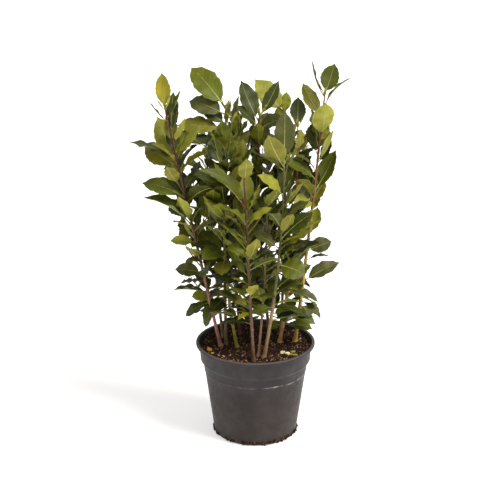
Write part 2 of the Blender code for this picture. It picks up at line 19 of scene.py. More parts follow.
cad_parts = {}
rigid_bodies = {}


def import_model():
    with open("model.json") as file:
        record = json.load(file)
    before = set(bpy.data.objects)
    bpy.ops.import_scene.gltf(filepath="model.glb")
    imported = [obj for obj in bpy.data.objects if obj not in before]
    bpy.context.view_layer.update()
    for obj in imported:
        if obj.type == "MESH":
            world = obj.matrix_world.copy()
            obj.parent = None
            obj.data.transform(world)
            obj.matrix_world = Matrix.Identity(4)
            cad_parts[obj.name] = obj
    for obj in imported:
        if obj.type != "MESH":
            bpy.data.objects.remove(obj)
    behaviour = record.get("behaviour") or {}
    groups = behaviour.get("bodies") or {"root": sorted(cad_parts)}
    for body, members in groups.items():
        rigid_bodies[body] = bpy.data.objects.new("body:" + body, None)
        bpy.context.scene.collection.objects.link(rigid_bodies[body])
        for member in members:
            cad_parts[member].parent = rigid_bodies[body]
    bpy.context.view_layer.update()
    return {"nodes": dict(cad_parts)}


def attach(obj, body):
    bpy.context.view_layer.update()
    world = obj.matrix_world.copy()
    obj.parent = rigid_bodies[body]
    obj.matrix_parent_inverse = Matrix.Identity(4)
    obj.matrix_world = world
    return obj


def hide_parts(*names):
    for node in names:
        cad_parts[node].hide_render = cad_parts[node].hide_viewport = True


bl_info = {
    "name": "Potted bay laurel",
    "version": (1, 0, 0),
    "blender": (4, 5, 0),
    "location": "View3D > Sidebar > Bay laurel",
    "description": "Dresses the packed bay laurel with its pot, compost, bark, leaves and studio",
    "category": "Object",
}

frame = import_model()

MM = 0.001
CLEARANCE = 0.3 * MM


def linear(red, green, blue):
    """A colour as it is mixed for light, from the usual 0 to 255 of a screen."""
    shares = [value / 255 for value in (red, green, blue)]
    return tuple(s / 12.92 if s <= 0.04045 else ((s + 0.055) / 1.055) ** 2.4 for s in shares)


# Pot, as radii and as depths below the top of its lip
POT_HEIGHT = 106 * MM
POT_WALL = 1.2 * MM
POT_FLOOR = 1.6 * MM
LIP_RADIUS = 65.0 * MM
LIP_INNER_RADIUS = 61.4 * MM
LIP_ROUND = 1.2 * MM
LIP_DEPTH = 3.2 * MM
COLLAR_TOP_RADIUS = 61.0 * MM
COLLAR_TOP_DEPTH = LIP_DEPTH + 2 * MM
COLLAR_FOOT_RADIUS = 60.1 * MM
COLLAR_DEPTH = 19 * MM
STEP_RADIUS = 56.9 * MM
STEP_DEPTH = 24 * MM
LEDGE_RADIUS = 55.7 * MM
LEDGE_DEPTH = 32.5 * MM
LEDGE_HEIGHT = 0.8 * MM
WALL_TOP_RADIUS = 55.3 * MM
WALL_FOOT_RADIUS = 45.5 * MM
POT_FOOT_ROUND = 3.6 * MM
SHOULDER_EASE = 0.15
DRAIN_HOLES = 8
DRAIN_RADIUS = 3.5 * MM
DRAIN_RING = 33 * MM
POT_MERGE = 0.05 * MM

# Pot's looks: the plastic is warmer towards its foot and cooler towards its collar
POT_WARM = (1.1, 0.97, 0.84)
POT_COOL = (0.97, 1.02, 1.14)
WARM_UP_TO = 0.45 * POT_HEIGHT
COOL_FROM = 0.85 * POT_HEIGHT
SCUFF_SIDE = (4 * MM, 16 * MM)
SCUFF_ELSEWHERE = 0.16
FOOT_DIRT = (1 * MM, 11 * MM)
MOULD_RINGS = 1900.0

# Compost
COMPOST_TOP = POT_HEIGHT - 6.5 * MM
COMPOST_SWELL = 1.2 * MM
COMPOST_WAVES = (70, 55, 130)
COMPOST_EDGE = 59.4 * MM
COMPOST_CRUST = 3 * MM
BANK_FROM = 46 * MM
BANK_HEIGHT = 3 * MM
BANK_AT_BACK = 0.4
CLOD_FINENESS = 130
CRUMB_FINENESS = 620
CRUMB_STRETCH = ((0.7, 1.5), (0.6, 1.1), (0.5, 1.0))
CRUMB_DENTS = (0.75, 1.25)
ANY_TILT = 3.14
ANY_SPIN = 3.15
FORM_PICKS = 9
SPOKE_ANGLE = 0.0873
CLUMPS = 3.1
FOOT_BAND_ANGLES = (8, 30, 52, 70)
FOOT_BAND_OUT = 0.5 * MM
FOOT_BAND_UP = 1.7 * MM
FOOT_BARE_BELOW = -0.12

# Stems and shoots
FLARE_HEIGHT = 4 * MM
FLARE = 0.75
SHOOT_TIP_RADIUS = 0.8 * MM
LEAF_RING = 0.2
LEAF_RING_HEIGHT = 1.3 * MM
LEAF_RING_REACH = 4 * MM

# Leaves, as shares of their own length or width
PETIOLE_SHARE = 0.16
PETIOLE_RADIUS = 0.75 * MM
PETIOLE_DEPTH = 1.4
BLADE_STATIONS = ((0.42, 0.96), (0.74, 0.80))
BLADE_THICKNESS = 0.9 * MM
BLADE_FOLD = 0.22
ARCH_LEVEL = 0.09
ARCH_STEEP = -0.07
STEEPER_FROM = 35
STEEPER_OVER = 30
LEAF_CLEARANCE = 0.9 * MM
LEAF_ABOVE_LIP = 3 * MM
LEAF_INSIDE_LIP = 6 * MM
LEAF_ABOVE_COMPOST = 5 * MM

# Growth
FIRST_SEED = 11
SPIRAL = 137.5
INTERNODE_LOW = 9.8 * MM
INTERNODE_TOP = 11.3 * MM
SPIRAL_SPREAD = 18
LOW_RISE = -14
TIP_RISE = 58
RISE_SPREAD = (-14, 16)
LENGTH_SPREAD = (0.82, 1.12)
WIDTH_SPREAD = (0.9, 1.12)
TURN_SPREAD = 38
LEAF_LENGTH = 50 * MM
TIP_LEAF_LENGTH = 30 * MM
LEAF_SHAPE = 0.45
LEAFY_MARGIN = 4
TWIG_EVERY = 4
TWIG_LENGTH = 30 * MM
TWIG_RADIUS = 0.95 * MM
TWIG_SAG = 2 * MM
TWIG_STEEPER = 26
TWIG_STEEPEST = 70
TWIG_OUTER = 0.2
TWIG_LAST_LEAF = 0.97
TWIG_LEAF_STEEPER = 18
TWIG_LEAF_STEEPEST = 66
TWIG_SPREAD = (0.8, 1.25)
TWIG_LEAVES = (0.45, 0.75, 1.0)
TWIG_LEAF_SIZE = 0.78
TWIG_LEAF_TURN = 70
TWIG_LEAF_STEP = 150
TWIGS_UP_TO = 0.8
FRONT = (215, 325)
FRONT_TOLD_BY = 6
BARE_TIP = 3 * MM
SHOWN_TIP = 20 * MM
NEAR_TIP = 0.995
CROSSING = 24 * MM
RE_AIMS = ((0, 0), (24, 8), (-24, -8), (48, 0), (-48, 14), (75, -12), (-75, 6), (110, 0))

# The crown's outline, a level ellipse that widens and shifts from its foot up to its broadest level
CROWN_FOOT = 140 * MM
CROWN_BROAD = 320 * MM
CROWN_CENTRE_X = (2 * MM, -20 * MM)
CROWN_CENTRE_Y = 8 * MM
CROWN_HALF_X = (70 * MM, 102 * MM)
CROWN_HALF_Y = (64 * MM, 92 * MM)

# Finer growth, seen only here: small leaves between the others, and buds
FINER_SEED = 100
FINER_FROM = 6
FINER_UP_TO = 0.86
FINER_STEP_LOW = 5 * MM
FINER_STEP_TOP = 12 * MM
FINER_SIZE = (0.62, 1.05)
FINER_TWIG_CHANCE = 0.35
TIP_LEAVES = 3
TIP_LEAF_SIZE = (9, 16)
TIP_LEAF_RISE = (52, 74)
TIP_LEAF_SHAPE = 0.3
STUB_SHOOT = 1
STUB_HEIGHT = 308
STUB_LEAN = (0.25, -0.5, 1)
STUB_LENGTH = 10 * MM
STUB_RADIUS = 1.2 * MM
BUD_PROFILE = ((0.0, 0.45), (0.22, 0.95), (0.5, 1.0), (0.78, 0.55), (0.94, 0.18))
BUD_OUT = 1.2 * MM
BUD_SHAPE = 0.27
BUD_STEEPER = 32
BUD_STEEPEST = 78
TIP_BUD_RISE = 86
TIP_BUD_SIZE = (1.5, 1.3)
TIP_BUD_AT = 0.992

# Fine leaf shape, modelled once at this size and then stretched to each leaf
FORM_LENGTH = 50 * MM
FORM_WIDTH = 22 * MM
FORM_STATIONS = 13
FORM_COLUMNS = (-1.0, -0.5, 0.0, 0.5, 1.0)
FORMS_EACH = 9
FORM_SEED = 70
FORM_THICKNESS = 0.45 * MM
FORM_NARROWEST = 0.6 * MM
FORM_ARCH_SPREAD = (0.6, 1.35)
FORM_TWIST = (-20, 20)
FORM_FOLD = (0.1, 0.42)
FORM_BULGE = 0.07
FORM_BLUNTNESS = (0.62, 0.84)
FORM_BROADEST = 0.9
FORM_POINT = 0.16
FORM_TOOTH = 0.032
FORM_WAVES = (2.2, 3.8)
WAVE_LAG = 1.7
STEEP_RISE = 48
MIDRIB = {"first": 0.14, "last": 0.93, "radii": (0.55 * MM, 0.3 * MM), "sides": 5, "steps": 6}
STALK = {"first": 0.0, "last": 0.17, "radii": (0.85 * MM, 0.55 * MM), "sides": 6, "steps": 3}

# Leaf tints, upper face and underside, as they look in plain light. LEAF_FACES has, for each face,
# its name, its shine, how much duller it is and how strong its bump
TINTS = {
    "dark": ((58, 66, 14), (79, 84, 30)),
    "grey": ((78, 81, 36), (100, 103, 56)),
    "green": ((81, 88, 12), (106, 110, 40)),
    "fresh": ((94, 102, 8), (116, 119, 32)),
    "olive": ((116, 114, 28), (131, 129, 52)),
    "lime": ((143, 145, 44), (153, 152, 64)),
    "yellow": ((150, 142, 28), (158, 147, 52)),
}
LEAF_FACES = (("upper face", 0.32, 0.0, 0.28), ("underside", 0.15, 0.14, 0.35))
TINTS_LOW = ("dark", "green", "dark", "green", "olive", "dark")
TINTS_MIDDLE = ("green", "dark", "grey", "fresh", "dark", "olive")
TINTS_TIP = ("olive", "green", "fresh", "dark", "lime")
MIDDLE_FROM = 0.4
TIP_FROM = 0.75
RED_SHOOTS = (0, 5, 10, 11)
RED_FROM = 0.7

# Bark, from the foot up to the tip of each stem, in the same way
BARK = (
    ((158, 112, 96), (86, 52, 40)),
    ((118, 94, 66), (84, 84, 40)),
    ((106, 88, 62), (84, 86, 40)),
    ((138, 130, 60), (96, 100, 42)),
    ((96, 72, 54), (78, 72, 36)),
    ((104, 75, 56), (88, 55, 38)),
    ((148, 114, 86), (112, 92, 56)),
    ((120, 86, 62), (104, 62, 46)),
    ((140, 112, 78), (84, 86, 36)),
    ((130, 100, 64), (98, 74, 38)),
    ((176, 132, 78), (146, 86, 42)),
    ((184, 152, 62), (118, 78, 48)),
)
BARK_TURNS = (0.4, 0.7)

# Other colours
DUST = linear(104, 98, 96)
SCUFF = linear(178, 172, 168)
# Painted light: the paler colour that makes the top of the lip look lit
PAINTED_LIP_LIGHT = linear(98, 91, 88)
POT_DIRT = linear(58, 40, 28)
BARK_SPECK = linear(176, 150, 118)
DEAD_BARK = linear(46, 34, 28)
TWIG_GREEN = linear(112, 104, 56)
RIB_GREEN = linear(172, 174, 98)
STALK_RED = linear(128, 62, 42)
STALK_GREEN = linear(138, 132, 70)
BUD_GREEN = linear(132, 126, 62)
BARK_BITS = linear(172, 134, 104)
STRAW = linear(172, 144, 118)
RUST = linear(112, 70, 46)
FLOOR_PALE = (0.9, 0.9, 0.9)


class Leaf(NamedTuple):
    """A leaf: its height on the shoot, heading from +X, rise, length, width, tint and turn (mm, degrees)."""

    height: float
    heading: float
    rise: float
    length: float
    width: float
    tint: str = ""
    turn: float = 0


class Shoot(NamedTuple):
    """A stem with its leafy shoot: foot, tip and its middle's bend aside (mm), and its leaves in view."""

    foot: tuple
    tip: tuple
    bend: tuple
    radius: float
    shown: tuple
    leafy_from: float = 138


SHOOTS = (
    Shoot((-38, -2), (-94, -6, 368), (0, 0), 1.9, (
        Leaf(366, 102, 62, 40, 17, "yellow", -20),
        Leaf(340, 76, 74, 44, 15, "dark", 30),
        Leaf(357, 12, 64, 33, 12, "green"),
        Leaf(353, 184, 50, 30, 12, "green"),
        Leaf(309, 128, 50, 56, 25, "lime", -25),
        Leaf(302, 150, 23, 47, 26, "olive", -40),
        Leaf(310, 172, 20, 56, 22, "grey"),
        Leaf(270, 168, 16, 50, 23, "green", -30),
        Leaf(238, 184, 33, 62, 20, "green"),
        Leaf(243, 232, 60, 40, 20, "lime"),
        Leaf(221, 184, 4, 28, 12, "lime", -50),
        Leaf(186, 182, 8, 31, 17, "grey", -45),
        Leaf(176, 205, 4, 30, 14, "grey"),
        Leaf(163, 178, 4, 38, 14, "grey"),
        Leaf(157, 205, 12, 20, 16, "lime", -30),
        Leaf(152, 192, -28, 31, 13, "dark", -30),
        Leaf(144, 232, -60, 21, 11, "grey"),
    )),
    Shoot((-36, 26), (-54, 62, 316), (-2, 4), 1.7, (
        Leaf(308, 170, 26, 34, 19, "grey", -30),
    )),
    Shoot((-32, 4), (-31, 24, 362), (-2, 2), 1.8, (
        Leaf(359, 140, 38, 62, 28, "fresh", -35),
        Leaf(353, 162, 16, 43, 24, "grey", -42),
        Leaf(337, 178, 5, 52, 21, "olive", -42),
        Leaf(343, 150, 26, 30, 17, "dark", -40),
    )),
    Shoot((-20, -2), (-24, -8, 356), (-11, -4), 1.7, (
        Leaf(352, 38, 72, 30, 10, "grey"),
        Leaf(302, 110, 74, 54, 23, "fresh"),
        Leaf(203, 262, -22, 26, 20, "olive", 10),
        Leaf(288, 200, 20, 38, 20, "dark", -30),
    )),
    Shoot((-17, 32), (-15, 50, 344), (-6, -8), 1.5, (
        Leaf(286, 112, 66, 56, 26, "green", -15),
    )),
    Shoot((-2, -40), (-12, -44, 303), (0, -2), 1.7, (
        Leaf(301, 282, 66, 30, 16, "olive"),
        Leaf(270, 192, 43, 68, 15, "green", -20),
        Leaf(250, 350, 42, 36, 10, "lime", 20),
        Leaf(215, 302, 60, 33, 17, "olive"),
        Leaf(196, 165, 50, 38, 9, "green", -30),
        Leaf(172, 285, 48, 30, 13, "lime"),
        Leaf(164, 176, 40, 36, 8, "green"),
        Leaf(156, 208, -20, 17, 12, "yellow"),
    )),
    Shoot((3, -28), (12, -24, 268), (2, 3), 1.3, (
        Leaf(158, 248, 60, 30, 17, "green"),
    )),
    Shoot((16, 32), (4, 32, 352), (-5, 3), 1.8, (
        Leaf(348, 42, 52, 46, 15, "dark", 20),
        Leaf(343, 140, 59, 49, 22, "dark", -20),
        Leaf(336, 186, 43, 38, 21, "dark", -30),
        Leaf(334, 12, 22, 32, 22, "dark", 30),
    )),
    Shoot((9, -32), (29, -36, 318), (5, 0), 2.0, (
        Leaf(316, 87, 68, 56, 22, "grey"),
        Leaf(313, 220, 60, 44, 23, "olive", 35),
        Leaf(309, 186, 34, 33, 11, "grey", -20),
        Leaf(228, 342, 30, 24, 9, "lime"),
        Leaf(206, 334, -12, 32, 26, "green", 38),
        Leaf(158, 214, -4, 28, 13, "green", -25),
    )),
    Shoot((28, 34), (31, 62, 346), (3, 4), 1.7, (
        Leaf(345, 150, 43, 50, 27, "lime", -40),
        Leaf(345, 80, 74, 24, 12, "lime"),
    )),
    Shoot((27, 7), (44, 8, 346), (5, -2), 2.0, (
        Leaf(344, 88, 62, 33, 17, "dark"),
        Leaf(150, 262, -34, 28, 19, "green", 10),
        Leaf(160, 346, -14, 36, 15, "grey", 20),
        Leaf(122, 190, -8, 19, 10, "green", -30),
    ), leafy_from=116),
    Shoot((44, 14), (72, 10, 380), (1, 0), 2.0, (
        Leaf(378, 52, 60, 35, 20, "green", 30),
        Leaf(376, 176, 71, 41, 12, "grey"),
        Leaf(363, 4, 48, 45, 9, "grey"),
        Leaf(355, 150, 54, 41, 20, "olive", -25),
        Leaf(333, 294, 74, 41, 25, "lime"),
        Leaf(315, 90, 46, 39, 27, "green"),
        Leaf(272, 36, 55, 51, 20, "green", 30),
        Leaf(294, 190, 39, 37, 11, "green", -15),
        Leaf(260, 204, 8, 28, 20, "lime", -30),
        Leaf(250, 18, 50, 25, 11, "lime"),
        Leaf(223, 62, 50, 34, 19, "lime"),
        Leaf(205, 8, 20, 29, 18, "grey", 50),
        Leaf(194, 350, 14, 27, 13, "grey"),
        Leaf(170, 14, 24, 45, 17, "grey", 40),
        Leaf(148, 330, -34, 30, 14, "grey"),
    )),
)


# Rings of points and the faces between them

LEVEL = (Vector((1, 0, 0)), Vector((0, 1, 0)))
UPRIGHT = (Vector((0, 1, 0)), Vector((0, 0, 1)))


def blend(low, high, share):
    return low + (high - low) * share


def held(share):
    return min(1.0, max(0.0, share))


class Skin(NamedTuple):
    """An uneven skin: its depth, how fine it is along and round a limb, and which draw of it."""

    depth: float
    along: float
    round_about: float
    draw: float = 0


def around(sides, turn=0.0):
    """The angles of that many points evenly round a circle."""
    return [2 * math.pi * (k + turn) / sides for k in range(sides)]


def ring_points(centre, radius, sides, axes=LEVEL, skin=None):
    """Points round a centre, in the plane of two axes, with an uneven skin if one is given."""
    points = []
    for angle in around(sides):
        out = axes[0] * math.cos(angle) + axes[1] * math.sin(angle)
        dent = 0
        if skin:
            place = centre * skin.along + out * skin.round_about + Vector((0, 0, skin.draw))
            dent = noise.noise(place) * skin.depth
        points.append(centre + out * (radius + dent))
    return points


def band_faces(rings, sides, first=0, inwards=False):
    """Four-cornered faces between rings of points that follow each other from the first point on."""
    faces = []
    for start in range(first, first + (rings - 1) * sides, sides):
        for k in range(sides):
            here, after = start + k, start + (k + 1) % sides
            face = (here, after, after + sides, here + sides)
            faces.append((face[0], *face[:0:-1]) if inwards else face)
    return faces


def tube_faces(rings, sides):
    """The faces of a tube with both of its ends closed."""
    end = range((rings - 1) * sides, rings * sides)
    return band_faces(rings, sides) + [tuple(reversed(range(sides))), tuple(end)]


def tip_faces(rings, sides, inwards=False):
    """The faces from the last ring to one point after it."""
    last, tip = (rings - 1) * sides, rings * sides
    edges = [(last + k, last + (k + 1) % sides) for k in range(sides)]
    return [(a, tip, b) if inwards else (a, b, tip) for a, b in edges]


# Middle lines of the stems, and the compost's top


class Limb(NamedTuple):
    """The middle line of a stem, a shoot or a twig, and its radius at both ends."""

    start: Vector
    control: Vector
    end: Vector
    start_radius: float
    end_radius: float

    def at(self, share):
        rest = 1 - share
        return self.start * rest**2 + self.control * 2 * share * rest + self.end * share**2

    def at_height(self, height, up_to=math.inf):
        return self.at(min(up_to, share_at_height(self, height)))

    def radius(self, share):
        return self.start_radius + (self.end_radius - self.start_radius) * share

    def part(self, share):
        """The rest of the limb, from this share of its length on."""
        control = self.control.lerp(self.end, share)
        return self._replace(start=self.at(share), control=control, start_radius=self.radius(share))


def compost_height(x, y):
    """The compost's top, which swells gently towards the stems."""
    along, deep, slanting = COMPOST_WAVES
    swell = math.sin(x * along + 0.6) * math.cos(y * deep - 0.4) + 0.5 * math.sin((x - y) * slanting)
    return COMPOST_TOP + COMPOST_SWELL * swell


def foot_height(x, y, radius):
    """The highest compost under a round foot, so that its flat cut clears it all round."""
    angles = [math.radians(angle) for angle in range(0, 360, 30)]
    ring = [compost_height(x + radius * math.cos(a), y + radius * math.sin(a)) for a in angles]
    return max(ring + [compost_height(x, y)]) + CLEARANCE


def shoot_line(shoot):
    """The whole middle line of one stem and its shoot, from the compost to the growing tip."""
    radius = shoot.radius * MM
    x, y = shoot.foot[0] * MM, shoot.foot[1] * MM
    foot = Vector((x, y, foot_height(x, y, radius * (1 + FLARE))))
    tip = Vector(shoot.tip) * MM
    bend = Vector((*shoot.bend, 0)) * MM
    return Limb(foot, (foot + tip) / 2 + bend * 2, tip, radius, SHOOT_TIP_RADIUS)


def share_at_height(line, height):
    return (height - line.start.z) / (line.end.z - line.start.z)


# Plain leaf and tube, for the growth's clearance tests


def leaf_axes(leaf):
    """The leaf's own directions: along it, across it, and out of its upper face."""
    heading, rise = math.radians(leaf.heading), math.radians(leaf.rise)
    level = math.cos(rise)
    along = Vector((level * math.cos(heading), level * math.sin(heading), math.sin(rise)))
    across = Vector((-math.sin(heading), math.cos(heading), 0))
    turn = Matrix.Rotation(math.radians(leaf.turn), 3, along)
    return along, turn @ across, turn @ along.cross(across)


def leaf_mesh(leaf, root, spare=0.0, with_stalk=True):
    """A closed loft along the leaf to its tip. Spare fattens it, for a clearance test."""
    along, across, face = leaf_axes(leaf)
    length, half_width = leaf.length * MM, leaf.width * MM / 2
    arch = blend(ARCH_LEVEL, ARCH_STEEP, held((leaf.rise - STEEPER_FROM) / STEEPER_OVER)) * length

    def middle(share):
        return root + along * length * share + face * arch * 4 * share * (1 - share)

    def section(share, half, thickness, fold):
        centre, lift, side = middle(share), face * half * fold, across * (half + spare)
        deep = face * (thickness / 2 + spare)
        return [centre - side + lift, centre - deep, centre + side + lift, centre + deep]

    verts = []
    stalk = (0, PETIOLE_SHARE) if with_stalk else (PETIOLE_SHARE,)
    for share in stalk:
        verts += section(share, PETIOLE_RADIUS, PETIOLE_RADIUS * PETIOLE_DEPTH, 0)
    for share, breadth in BLADE_STATIONS:
        verts += section(share, half_width * breadth, BLADE_THICKNESS, BLADE_FOLD)
    verts.append(middle(1) + along * spare)
    rings = len(stalk) + len(BLADE_STATIONS)
    return verts, [(0, 1, 2, 3)] + band_faces(rings, 4, inwards=True) + tip_faces(rings, 4, inwards=True)


def tube_mesh(line, spare=0.0, steps=8, sides=6):
    """A plain tube round a limb's middle line."""
    verts = []
    for step in range(steps + 1):
        share = step / steps
        verts += ring_points(line.at(share), line.radius(share) + spare, sides)
    return verts, band_faces(steps + 1, sides)


# Growth


class Solid:
    """A shape that later leaves must stay clear of, with its box for a quick first test."""

    def __init__(self, verts, faces, owner=None):
        self.owner = owner
        self.tree = BVHTree.FromPolygons(verts, faces)
        self.low = [min(v[k] for v in verts) for k in range(3)]
        self.high = [max(v[k] for v in verts) for k in range(3)]

    def meets(self, other):
        if any(self.low[k] > other.high[k] or other.low[k] > self.high[k] for k in range(3)):
            return False
        return bool(self.tree.overlap(other.tree))


class Plant:
    """Everything grown so far: the middle lines, and each shoot's twigs and leaves."""

    def __init__(self):
        self.lines = [shoot_line(shoot) for shoot in SHOOTS]
        self.limbs = [Solid(*tube_mesh(line), k) for k, line in enumerate(self.lines)]
        self.blades = []
        self.whole_leaves = []
        self.twigs = [[] for _ in SHOOTS]
        self.leaves = [[] for _ in SHOOTS]

    def axis_distance(self, number, point):
        """How far a point lies, level, from the middle line of one shoot."""
        line = self.lines[number]
        return (point - line.at(held(share_at_height(line, point.z)))).to_2d().length

    def in_space(self, number, points):
        """Whether the points stay in the crown and in this shoot's own part of it."""
        end = points[-1]
        nearest = min(self.axis_distance(k, end) for k in range(len(SHOOTS)))
        own = self.axis_distance(number, end) - nearest <= CROSSING
        return own and all(in_crown(point) and clear_of_pot(point) for point in points)

    def is_clear(self, number, outer, whole):
        """Whether a leaf or twig misses every other shoot, and its outer part its own shoot too."""
        if any(outer.meets(other) for other in self.limbs + self.blades if other.owner == number):
            return False
        others = self.limbs + self.whole_leaves
        return not any(whole.meets(other) for other in others if other.owner != number)

    def add_leaf(self, number, leaf, root, given=False):
        """Adds the leaf where it fits, re-aimed a little where it must be, or skips it."""
        for heading, rise in RE_AIMS:
            if given:
                heading, rise = heading / 3, rise / 3
            aimed = leaf._replace(heading=leaf.heading + heading, rise=leaf.rise + rise)
            points, faces = leaf_mesh(aimed, root, LEAF_CLEARANCE, with_stalk=False)
            if not given and not self.in_space(number, points):
                continue
            whole = Solid(*leaf_mesh(aimed, root, LEAF_CLEARANCE))
            if not self.is_clear(number, Solid(points, faces), whole):
                continue
            self.blades.append(Solid(*leaf_mesh(aimed, root, with_stalk=False), number))
            self.whole_leaves.append(Solid(*leaf_mesh(aimed, root), number))
            self.leaves[number].append((aimed, root))
            return

    def add_twig(self, number, rng, leaf, root):
        """Adds a short side twig with a few leaves, or nothing where it would not fit."""
        aim = leaf._replace(rise=min(TWIG_STEEPEST, leaf.rise + TWIG_STEEPER), turn=0)
        along, _, face = leaf_axes(aim)
        length = TWIG_LENGTH * rng.uniform(*TWIG_SPREAD)
        end = root + along * length
        middle = root + along * length / 2 - face * TWIG_SAG
        twig = Limb(root, middle, end, TWIG_RADIUS, TWIG_RADIUS / 2)
        outer = Solid(*tube_mesh(twig.part(TWIG_OUTER), LEAF_CLEARANCE, 3, 4), number)
        whole = Solid(*tube_mesh(twig, LEAF_CLEARANCE, 3, 4), number)
        fits = self.in_space(number, [twig.at(0.5), end])
        if not fits or not self.is_clear(number, outer, whole):
            return False
        self.blades.append(outer)
        self.whole_leaves.append(whole)
        self.twigs[number].append(twig)
        heading = leaf.heading + TWIG_LEAF_TURN
        for share in TWIG_LEAVES:
            small = leaf._replace(
                heading=leaf.heading if share == 1 else heading,
                rise=min(TWIG_LEAF_STEEPEST, leaf.rise + TWIG_LEAF_STEEPER),
                length=leaf.length * TWIG_LEAF_SIZE,
                width=leaf.width * TWIG_LEAF_SIZE,
                turn=rng.uniform(-TURN_SPREAD, TURN_SPREAD),
            )
            self.add_leaf(number, small, twig.at(share * TWIG_LAST_LEAF))
            heading -= TWIG_LEAF_STEP
        return True

    def sprout(self, number, rng, leaf, root, branches):
        """A twig where the shoot branches and one fits, or else a leaf."""
        if not (branches and self.add_twig(number, rng, leaf, root)):
            self.add_leaf(number, leaf, root)


def in_crown(point):
    """Whether a point is inside the crown's outline at its height."""
    share = held((point.z - CROWN_FOOT) / (CROWN_BROAD - CROWN_FOOT))
    across = (point.x - blend(*CROWN_CENTRE_X, share)) / blend(*CROWN_HALF_X, share)
    deep = (point.y - CROWN_CENTRE_Y) / blend(*CROWN_HALF_Y, share)
    return across**2 + deep**2 < 1


def clear_of_pot(point):
    """Low leaves stay inside the lip and above the compost."""
    if point.z > POT_HEIGHT + LEAF_ABOVE_LIP:
        return True
    inside = point.to_2d().length < LIP_INNER_RADIUS - LEAF_INSIDE_LIP
    return inside and point.z > COMPOST_TOP + LEAF_ABOVE_COMPOST


def ruled_leaf(rng, height, heading, share):
    """The leaf that the growth rule gives at this share of the way up a shoot."""
    length = blend(LEAF_LENGTH, TIP_LEAF_LENGTH, share**3) * rng.uniform(*LENGTH_SPREAD)
    length *= blend(0.8, 1.0, min(1.0, share * 4))
    rise = blend(LOW_RISE, TIP_RISE, share**0.7) + rng.uniform(*RISE_SPREAD)
    width = length * LEAF_SHAPE * rng.uniform(*WIDTH_SPREAD)
    turn = rng.uniform(-TURN_SPREAD, TURN_SPREAD)
    return Leaf(height / MM, heading, rise, length / MM, width / MM, turn=turn)


def off_the_front(shoot, heading):
    """Turns a ruled leaf to the back on a shoot whose front is already told leaf by leaf."""
    towards_front = FRONT[0] < heading % 360 < FRONT[1]
    return heading + 180 if towards_front and len(shoot.shown) >= FRONT_TOLD_BY else heading


def grow_shown(plant, number, shoot):
    """The leaves in clear view, told one by one."""
    for leaf in shoot.shown:
        plant.add_leaf(number, leaf, plant.lines[number].at_height(leaf.height * MM, NEAR_TIP), True)


def grow_by_rule(plant, number, shoot):
    """One shoot's ruled leaves and twigs, set spirally from its foot up to its tip."""
    rng = random.Random(FIRST_SEED + number)
    line = plant.lines[number]
    shown_to = max(leaf.height for leaf in shoot.shown) * MM
    bare = SHOWN_TIP if shown_to > line.end.z - SHOWN_TIP else BARE_TIP
    low, high = (shoot.leafy_from + LEAFY_MARGIN) * MM, line.end.z - bare
    height, heading, node = low, rng.uniform(0, 360), 0
    while height < high:
        share = (height - low) / (high - low)
        leaf = ruled_leaf(rng, height, off_the_front(shoot, heading), share)
        branches = node % TWIG_EVERY == 1 and share < TWIGS_UP_TO
        plant.sprout(number, rng, leaf, line.at_height(height), branches)
        heading += SPIRAL + rng.uniform(-SPIRAL_SPREAD, SPIRAL_SPREAD)
        height += blend(INTERNODE_LOW, INTERNODE_TOP, share)
        node += 1


def grow_finer(plant, number, shoot):
    """Small leaves and twigs between the others, in the same space and by the same rule."""
    rng = random.Random(FIRST_SEED + number + FINER_SEED)
    line = plant.lines[number]
    low = (shoot.leafy_from + FINER_FROM) * MM
    high = blend(low, line.end.z, FINER_UP_TO)
    height = low
    while height < high:
        share = (height - low) / (high - low)
        heading = off_the_front(shoot, rng.uniform(0, 360))
        leaf = ruled_leaf(rng, height, heading, share * FINER_UP_TO)
        size = rng.uniform(*FINER_SIZE)
        leaf = leaf._replace(length=leaf.length * size, width=leaf.width * size)
        branches = rng.random() < FINER_TWIG_CHANCE
        plant.sprout(number, rng, leaf, line.at_height(height), branches)
        height += blend(FINER_STEP_LOW, FINER_STEP_TOP, share)


def grow_tip(plant, number, shoot):
    """The youngest leaves, small and steep round the growing tip."""
    rng = random.Random(FIRST_SEED + number + 2 * FINER_SEED)
    heading = rng.uniform(0, 360)
    for _ in range(TIP_LEAVES):
        length = rng.uniform(*TIP_LEAF_SIZE)
        rise = rng.uniform(*TIP_LEAF_RISE)
        leaf = Leaf(shoot.tip[2], heading, rise, length, length * TIP_LEAF_SHAPE, "lime")
        plant.leaves[number].append((leaf, plant.lines[number].at(NEAR_TIP)))
        heading += SPIRAL


@lru_cache(maxsize=1)
def whole_plant():
    """The leaves in view first, then the rule's own growth, the finer growth and the growing tips."""
    plant = Plant()
    for stage in (grow_shown, grow_by_rule, grow_finer, grow_tip):
        for number, shoot in enumerate(SHOOTS):
            stage(plant, number, shoot)
    return plant


def spray_tint(number, leaf):
    """A leaf's tint: its own if it has one, or else one for its whole spray, younger towards the tip."""
    if leaf.tint:
        return leaf.tint
    shoot = SHOOTS[number]
    share = (leaf.height - shoot.leafy_from) / (shoot.tip[2] - shoot.leafy_from)
    tints = TINTS_LOW if share < MIDDLE_FROM else TINTS_MIDDLE if share < TIP_FROM else TINTS_TIP
    return random.Random(f"{FIRST_SEED + number} {leaf.height:.1f}").choice(tints)


# Blender helpers


def new_object(name, mesh):
    obj = bpy.data.objects.new(name, mesh)
    bpy.context.scene.collection.objects.link(obj)
    return obj


def mesh_object(name, verts, faces, edges=()):
    mesh = bpy.data.meshes.new(name)
    mesh.from_pydata(verts, edges, faces)
    return new_object(name, mesh)


def built(name, work):
    """What was modelled in the bmesh, as an object."""
    mesh = bpy.data.meshes.new(name)
    work.to_mesh(mesh)
    work.free()
    return new_object(name, mesh)


